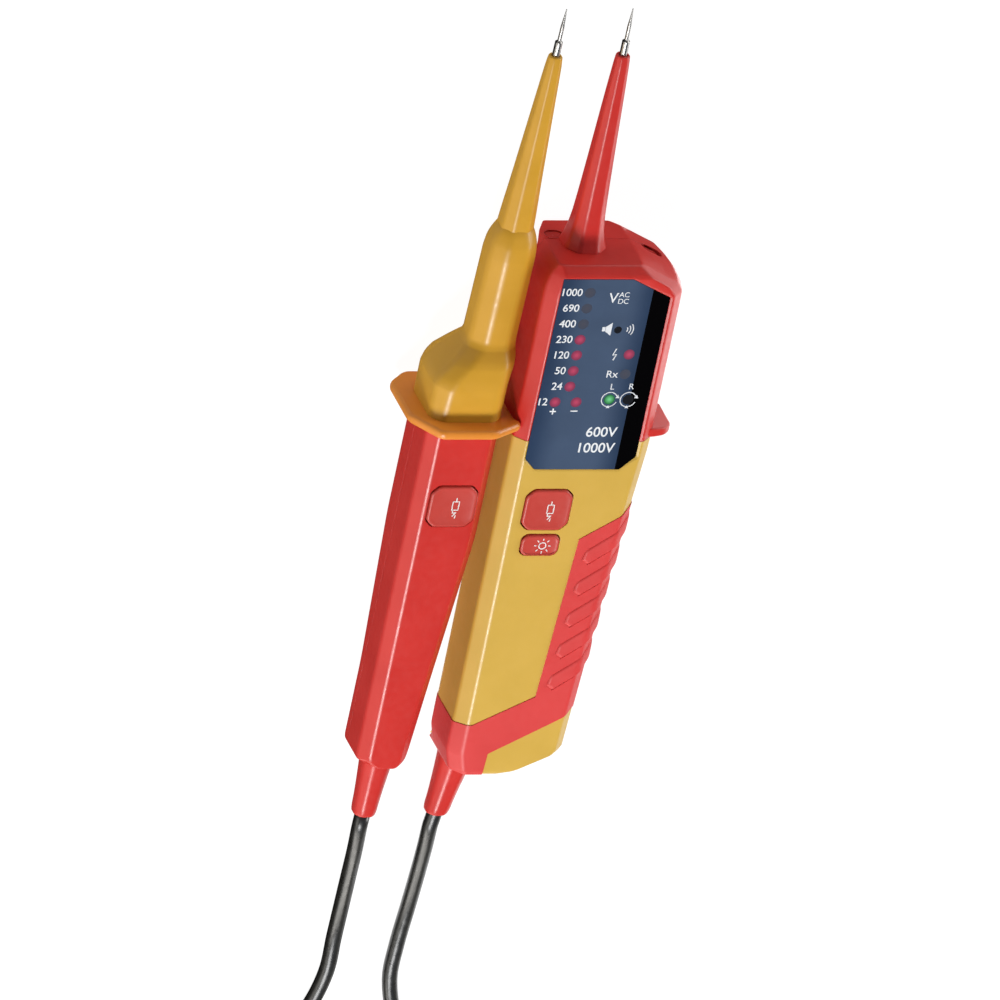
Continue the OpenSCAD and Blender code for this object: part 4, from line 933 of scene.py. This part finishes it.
def add_text(target, words, centre, size, bold=PLAIN, align="CENTER"):
    curve = bpy.data.curves.new("words", "FONT")
    curve.body = words
    curve.size = size
    curve.align_x = align
    curve.align_y = "CENTER"
    curve.offset = bold * size
    curve.extrude = PRINT_HALF
    add_curve(target, curve, Matrix.Translation((*centre, 0)))


def add_stroke(target, points, width, closed=False):
    curve = bpy.data.curves.new("stroke", "CURVE")
    curve.dimensions = "3D"
    curve.bevel_depth = width / 2
    curve.bevel_resolution = 2
    curve.use_fill_caps = True
    spline = curve.splines.new("POLY")
    spline.points.add(len(points) - 1)
    for p, (x, y) in zip(spline.points, points):
        p.co = (x, y, 0, 1)
    spline.use_cyclic_u = closed
    add_curve(target, curve, Matrix.Diagonal((1, 1, 2 * PRINT_HALF / width, 1)))


def add_shape(target, outline):
    bm = prism(outline, -PRINT_HALF, PRINT_HALF)
    mesh = bpy.data.meshes.new("shape")
    bm.to_mesh(mesh)
    bm.free()
    add_mesh(target, mesh, Matrix.Identity(4))


def arc(centre, r, start, end, steps=16):
    turns = [math.radians(start + (end - start) * i / steps) for i in range(steps + 1)]
    return [(centre[0] + r * math.cos(a), centre[1] + r * math.sin(a)) for a in turns]


SCALE_X, SCALE_TOP, SCALE_STEP = -1.0, 57.0, 6.0
SCALE_WORDS = ["1000", "690", "400", "230", "120", "50", "24"]
SCALE_PLACES = [(SCALE_X, SCALE_TOP - i * SCALE_STEP) for i in range(len(SCALE_WORDS))]
# Words on the window: text, middle, size and boldness
WORDS = [
    ("V", (7.6, 54.9), 5.4, 0.008), ("AC", (11.3, 56.2), 2.7, THIN), ("DC", (11.3, 53.7), 2.7, THIN),
    ("Rx", (12.9, 25.7), 3.8, THIN), ("L", (14.0, 20.9), 3.1, THIN), ("R", (20.7, 21.0), 3.1, THIN),
    ("+", (-5.1, 11.2), 4.6, PLAIN), ("600V", (13.6, 3.4), 5.2, PLAIN), ("1000V", (12.6, -2.7), 5.2, PLAIN)]
legend = bmesh.new()
for words, (x, y) in [*zip(SCALE_WORDS, SCALE_PLACES), ("12", (-5.0, 15))]:
    add_text(legend, words, (x - 2.6, y), 3.9, align="RIGHT")
for words, centre, size, bold in WORDS:
    add_text(legend, words, centre, size, bold)
add_stroke(legend, [(1.1, 11.6), (3.6, 11.6)], 0.5)
add_shape(legend, [(6.0, 42.3), (7.1, 42.3), (7.1, 43.9), (6.0, 43.9)])
add_shape(legend, [(7.2, 42.2), (9.3, 40.6), (9.3, 45.6), (7.2, 44.0)])
for r in (1.3, 2.3, 3.3):
    add_stroke(legend, arc((13.7, 43.0), r, -38, 38, 8), 0.38)
add_stroke(legend, [(12.6, 35.6), (11.7, 33.2), (13.0, 33.4), (12.1, 31.2)], 0.55)
PHASE_X, PHASE_Y = (13.9, 20.5), 16.1
for x in PHASE_X:
    add_stroke(legend, arc((x, PHASE_Y), 2.75, 20, 340, 28), 0.36)
    add_shape(legend, [(x + 2.0, 16.6), (x + 3.5, 16.6), (x + 2.75, 17.9)])
    add_shape(legend, [(x - 0.7, 12.8), (x + 0.7, 12.8), (x, 13.9)])
bmesh.ops.translate(legend, verts=legend.verts, vec=(0, 0, PANE_TOP + 0.02))
place(to_object("window_legend", legend), PRINT, "main_unit", "window_dark")
# The near-black strip along the window's right edge is a painted dark reflection
PAINTED_DARK_REFLECTION_OUTLINE = [(21.1, 58.4), (27.6, 55.2), (27.6, -5.9), (22.7, -10.8), (21.1, -10.8)]
painted_dark_reflection_strip = to_object("window_painted_dark_reflection", prism(PAINTED_DARK_REFLECTION_OUTLINE, PANE_TOP - 0.05, PANE_TOP + 0.008))
place(painted_dark_reflection_strip, PAINTED_DARK_REFLECTION, "main_unit", "window_dark")

SIGN_SCALE, SIGN_WIDTH = 1.15, 0.42


def key_symbol(key, strokes, shift):
    """Strokes in millimetres from a button's centre, laid on its dished top."""
    (cx, cy), w, l, _, front, _ = BUTTONS[key]
    bm = bmesh.new()
    for points, closed in strokes:
        fine = []
        follower = points[1:] + points[:1] if closed else points[1:]
        for a, b in zip(points, follower):
            fine += [(a[0] + (b[0] - a[0]) * k / 4, a[1] + (b[1] - a[1]) * k / 4) for k in range(4)]
        if not closed:
            fine.append(points[-1])
        fine = [(x * SIGN_SCALE + shift[0], y * SIGN_SCALE + shift[1]) for x, y in fine]
        add_stroke(bm, fine, SIGN_WIDTH, closed)
    for v in bm.verts:
        v.co.z += front + BUTTON_RISE + key_height(v.co.x, v.co.y, w, l) + 2 * PRINT_HALF
    bmesh.ops.translate(bm, verts=bm.verts, vec=(cx, cy, 0))
    return bm


LOAD_SIGN = [
    ([(-0.95, 1.5), (0.95, 1.5), (0.95, -1.3), (-0.95, -1.3)], True), ([(0, 1.6), (0, 2.7)], False),
    ([(-0.6, -1.5), (-0.6, -2.3), (0.5, -2.1), (-0.5, -3.4)], False), ([(0.5, -3.0), (0.3, -4.0)], False)]
SUN_SIGN = [(arc((0, 0), 1.05, 0, 345, 23), True)] + [
    ([(1.75 * math.cos(a), 1.75 * math.sin(a)), (2.5 * math.cos(a), 2.5 * math.sin(a))], False)
    for a in [math.pi * k / 4 for k in range(8)]]
for key, (*_, body) in BUTTONS.items():
    sign, shift = (SUN_SIGN, (0.9, -0.2)) if key == "torch" else (LOAD_SIGN, (1.1, 0.2))
    place(to_object(key + "_symbol", key_symbol(key, sign, shift)), KEY_PRINT, body, "red_button")

# Lamps under the window
UNLIT_SCALE_LAMPS = 3
LAMPS = {}
for i, (name, where) in enumerate(zip(SCALE_WORDS, SCALE_PLACES)):
    LAMPS[name] = (where, LAMP_OFF_PAINTED_REFLECTION if i < UNLIT_SCALE_LAMPS else LAMP_RED)
LAMPS.update({
    "12_plus": ((-5.0, 15), LAMP_RED),
    "12_minus": ((2.4, 15), LAMP_RED),
    "continuity": ((11.6, 42.8), LAMP_DARK),
    "live": ((17.4, 33.4), LAMP_RED),
    "test": ((17.5, 25.8), LAMP_OFF_PAINTED_REFLECTION),
    "phase_left": ((PHASE_X[0], PHASE_Y), LAMP_GREEN),
    "phase_right": ((PHASE_X[1], PHASE_Y), LAMP_DARK)})
SMALL_LAMP_R = 1.35
for name, (where, mat) in LAMPS.items():
    slot = {LAMP_RED: "lamp_red", LAMP_GREEN: "lamp_green"}.get(mat, "window_dark")
    radius = SMALL_LAMP_R if name == "continuity" else LAMP_R
    disc = prism(circle(where, radius, 28), PANE_TOP - 0.01, PANE_TOP + 0.012)
    place(to_object("lamp_" + name, disc), mat, "main_unit", slot, origin=(*where, PANE_TOP))

# CAD nodes that stay
KEPT = [
    (WINDOW, ["display_window"]),
    (SEAL, ["window_seal"]),
    (LENS, ["torch_lenses"]),
    (TORCH, ["voltage_leds", "status_leds", "torch_leds"]),
    (BOARD, ["circuit_board", "handle_board"]),
    (BLACK, ["buzzer", "load_switch", "torch_switch", "handle_switch"]),
    (RESISTOR, ["load_resistors", "handle_resistor"]),
    (YELLOW, ["battery_door"]),
    (CELL, ["batteries"]),
    (STEEL, ["door_screw", "battery_contacts", "housing_screws", "board_screws", "handle_screws"]),
    (PROBE_STEEL, ["probe_tip", "handle_probe_tip"])]
for mat, names in KEPT:
    for name in names:
        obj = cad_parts[name]
        obj.data.materials.clear()
        obj.data.materials.append(mat)


# Floor, world and lights
def stage_card(name, corners, colour, glow=0.0):
    """A card that only shows in reflections."""
    bm = bmesh.new()
    bm.faces.new([bm.verts.new(Vector(p) * MM) for p in corners])
    card = to_object(name, bm)
    mat, _, shader = new_material(name, (0, 0, 0), 0.9, Specular_IOR_Level=0.0)
    shader.inputs["Emission Color"].default_value = (*colour, 1)
    shader.inputs["Emission Strength"].default_value = glow
    card.data.materials.append(mat)
    card.visible_camera = False
    card.visible_diffuse = False
    card.visible_shadow = False
    card.visible_transmission = False


def flat_card(name, x0, x1, y0, y1, z, colour, glow=0.0):
    stage_card(name, [(x0, y0, z), (x1, y0, z), (x1, y1, z), (x0, y1, z)], colour, glow)


FLOOR_HALF, FLOOR_GLOW = 60000, 0.955
floor = to_object("floor", block((-FLOOR_HALF, -FLOOR_HALF, -1), (FLOOR_HALF, FLOOR_HALF, -0.02)))
floor.data.transform(Matrix.Scale(MM, 4))
floor_mat, _, floor_shader = new_material("pale_floor", grey(0.16), 0.8, Specular_IOR_Level=0.0)
floor_shader.inputs["Emission Color"].default_value = (1, 1, 1, 1)
floor_shader.inputs["Emission Strength"].default_value = FLOOR_GLOW
floor.data.materials.append(floor_mat)

CARD_Z = 0.05
WHITE, UNLIT = grey(1.0), grey(0.0)
flat_card("cool_card", -320, 420, -760, 240, 434, (0.60, 0.80, 1.10), 0.15)
flat_card("dark_left", -420, -16, -420, 420, CARD_Z, UNLIT)
stage_card("bright_right", [(75, -15, 1), (75, 400, 1), (75, 400, 42), (75, -15, 42)], WHITE, 2.0)
flat_card("bright_floor", 12, 75, 32, 53, CARD_Z, WHITE, 3.0)
flat_card("dark_floor", 24, 120, 54, 70, CARD_Z, WHITE, 0.08)
stage_card("bright_front", [(-520, -720, 60), (120, -720, 60), (120, -720, 300), (-520, -720, 300)],
           (1.0, 0.97, 0.92), 3.6)
stage_card("bright_left", [(-430, -480, 110), (-430, 60, 110), (-430, 60, 330), (-430, -480, 330)],
           (1.0, 0.97, 0.9), 1.5)
flat_card("dark_top", -30, 45, 66, 420, CARD_Z, UNLIT)

world = bpy.data.worlds.new("studio")
world.use_nodes = True
world.node_tree.nodes["Background"].inputs["Color"].default_value = (1, 1, 1, 1)
world.node_tree.nodes["Background"].inputs["Strength"].default_value = 0.14
scene.world = world
scene.view_settings.view_transform = "Standard"
scene.view_settings.look = "None"


def soft_light(name, direction, distance, size, radiance):
    """A soft box of the given size in metres, as bright all over as radiance says."""
    data = bpy.data.lights.new(name, "AREA")
    data.shape = "RECTANGLE"
    data.size, data.size_y = size
    data.energy = radiance * math.pi * size[0] * size[1]
    light = bpy.data.objects.new(name, data)
    scene.collection.objects.link(light)
    way = Vector(direction).normalized()
    light.location = AIM + way * distance
    light.rotation_mode = "QUATERNION"
    light.rotation_quaternion = way.to_track_quat("Z", "Y")


soft_light("key", (-0.30, -0.49, 0.80), 2.0, (0.70, 0.50), 35)
soft_light("side", (0.88, 0.30, 0.30), 1.1, (0.9, 0.45), 4.6)
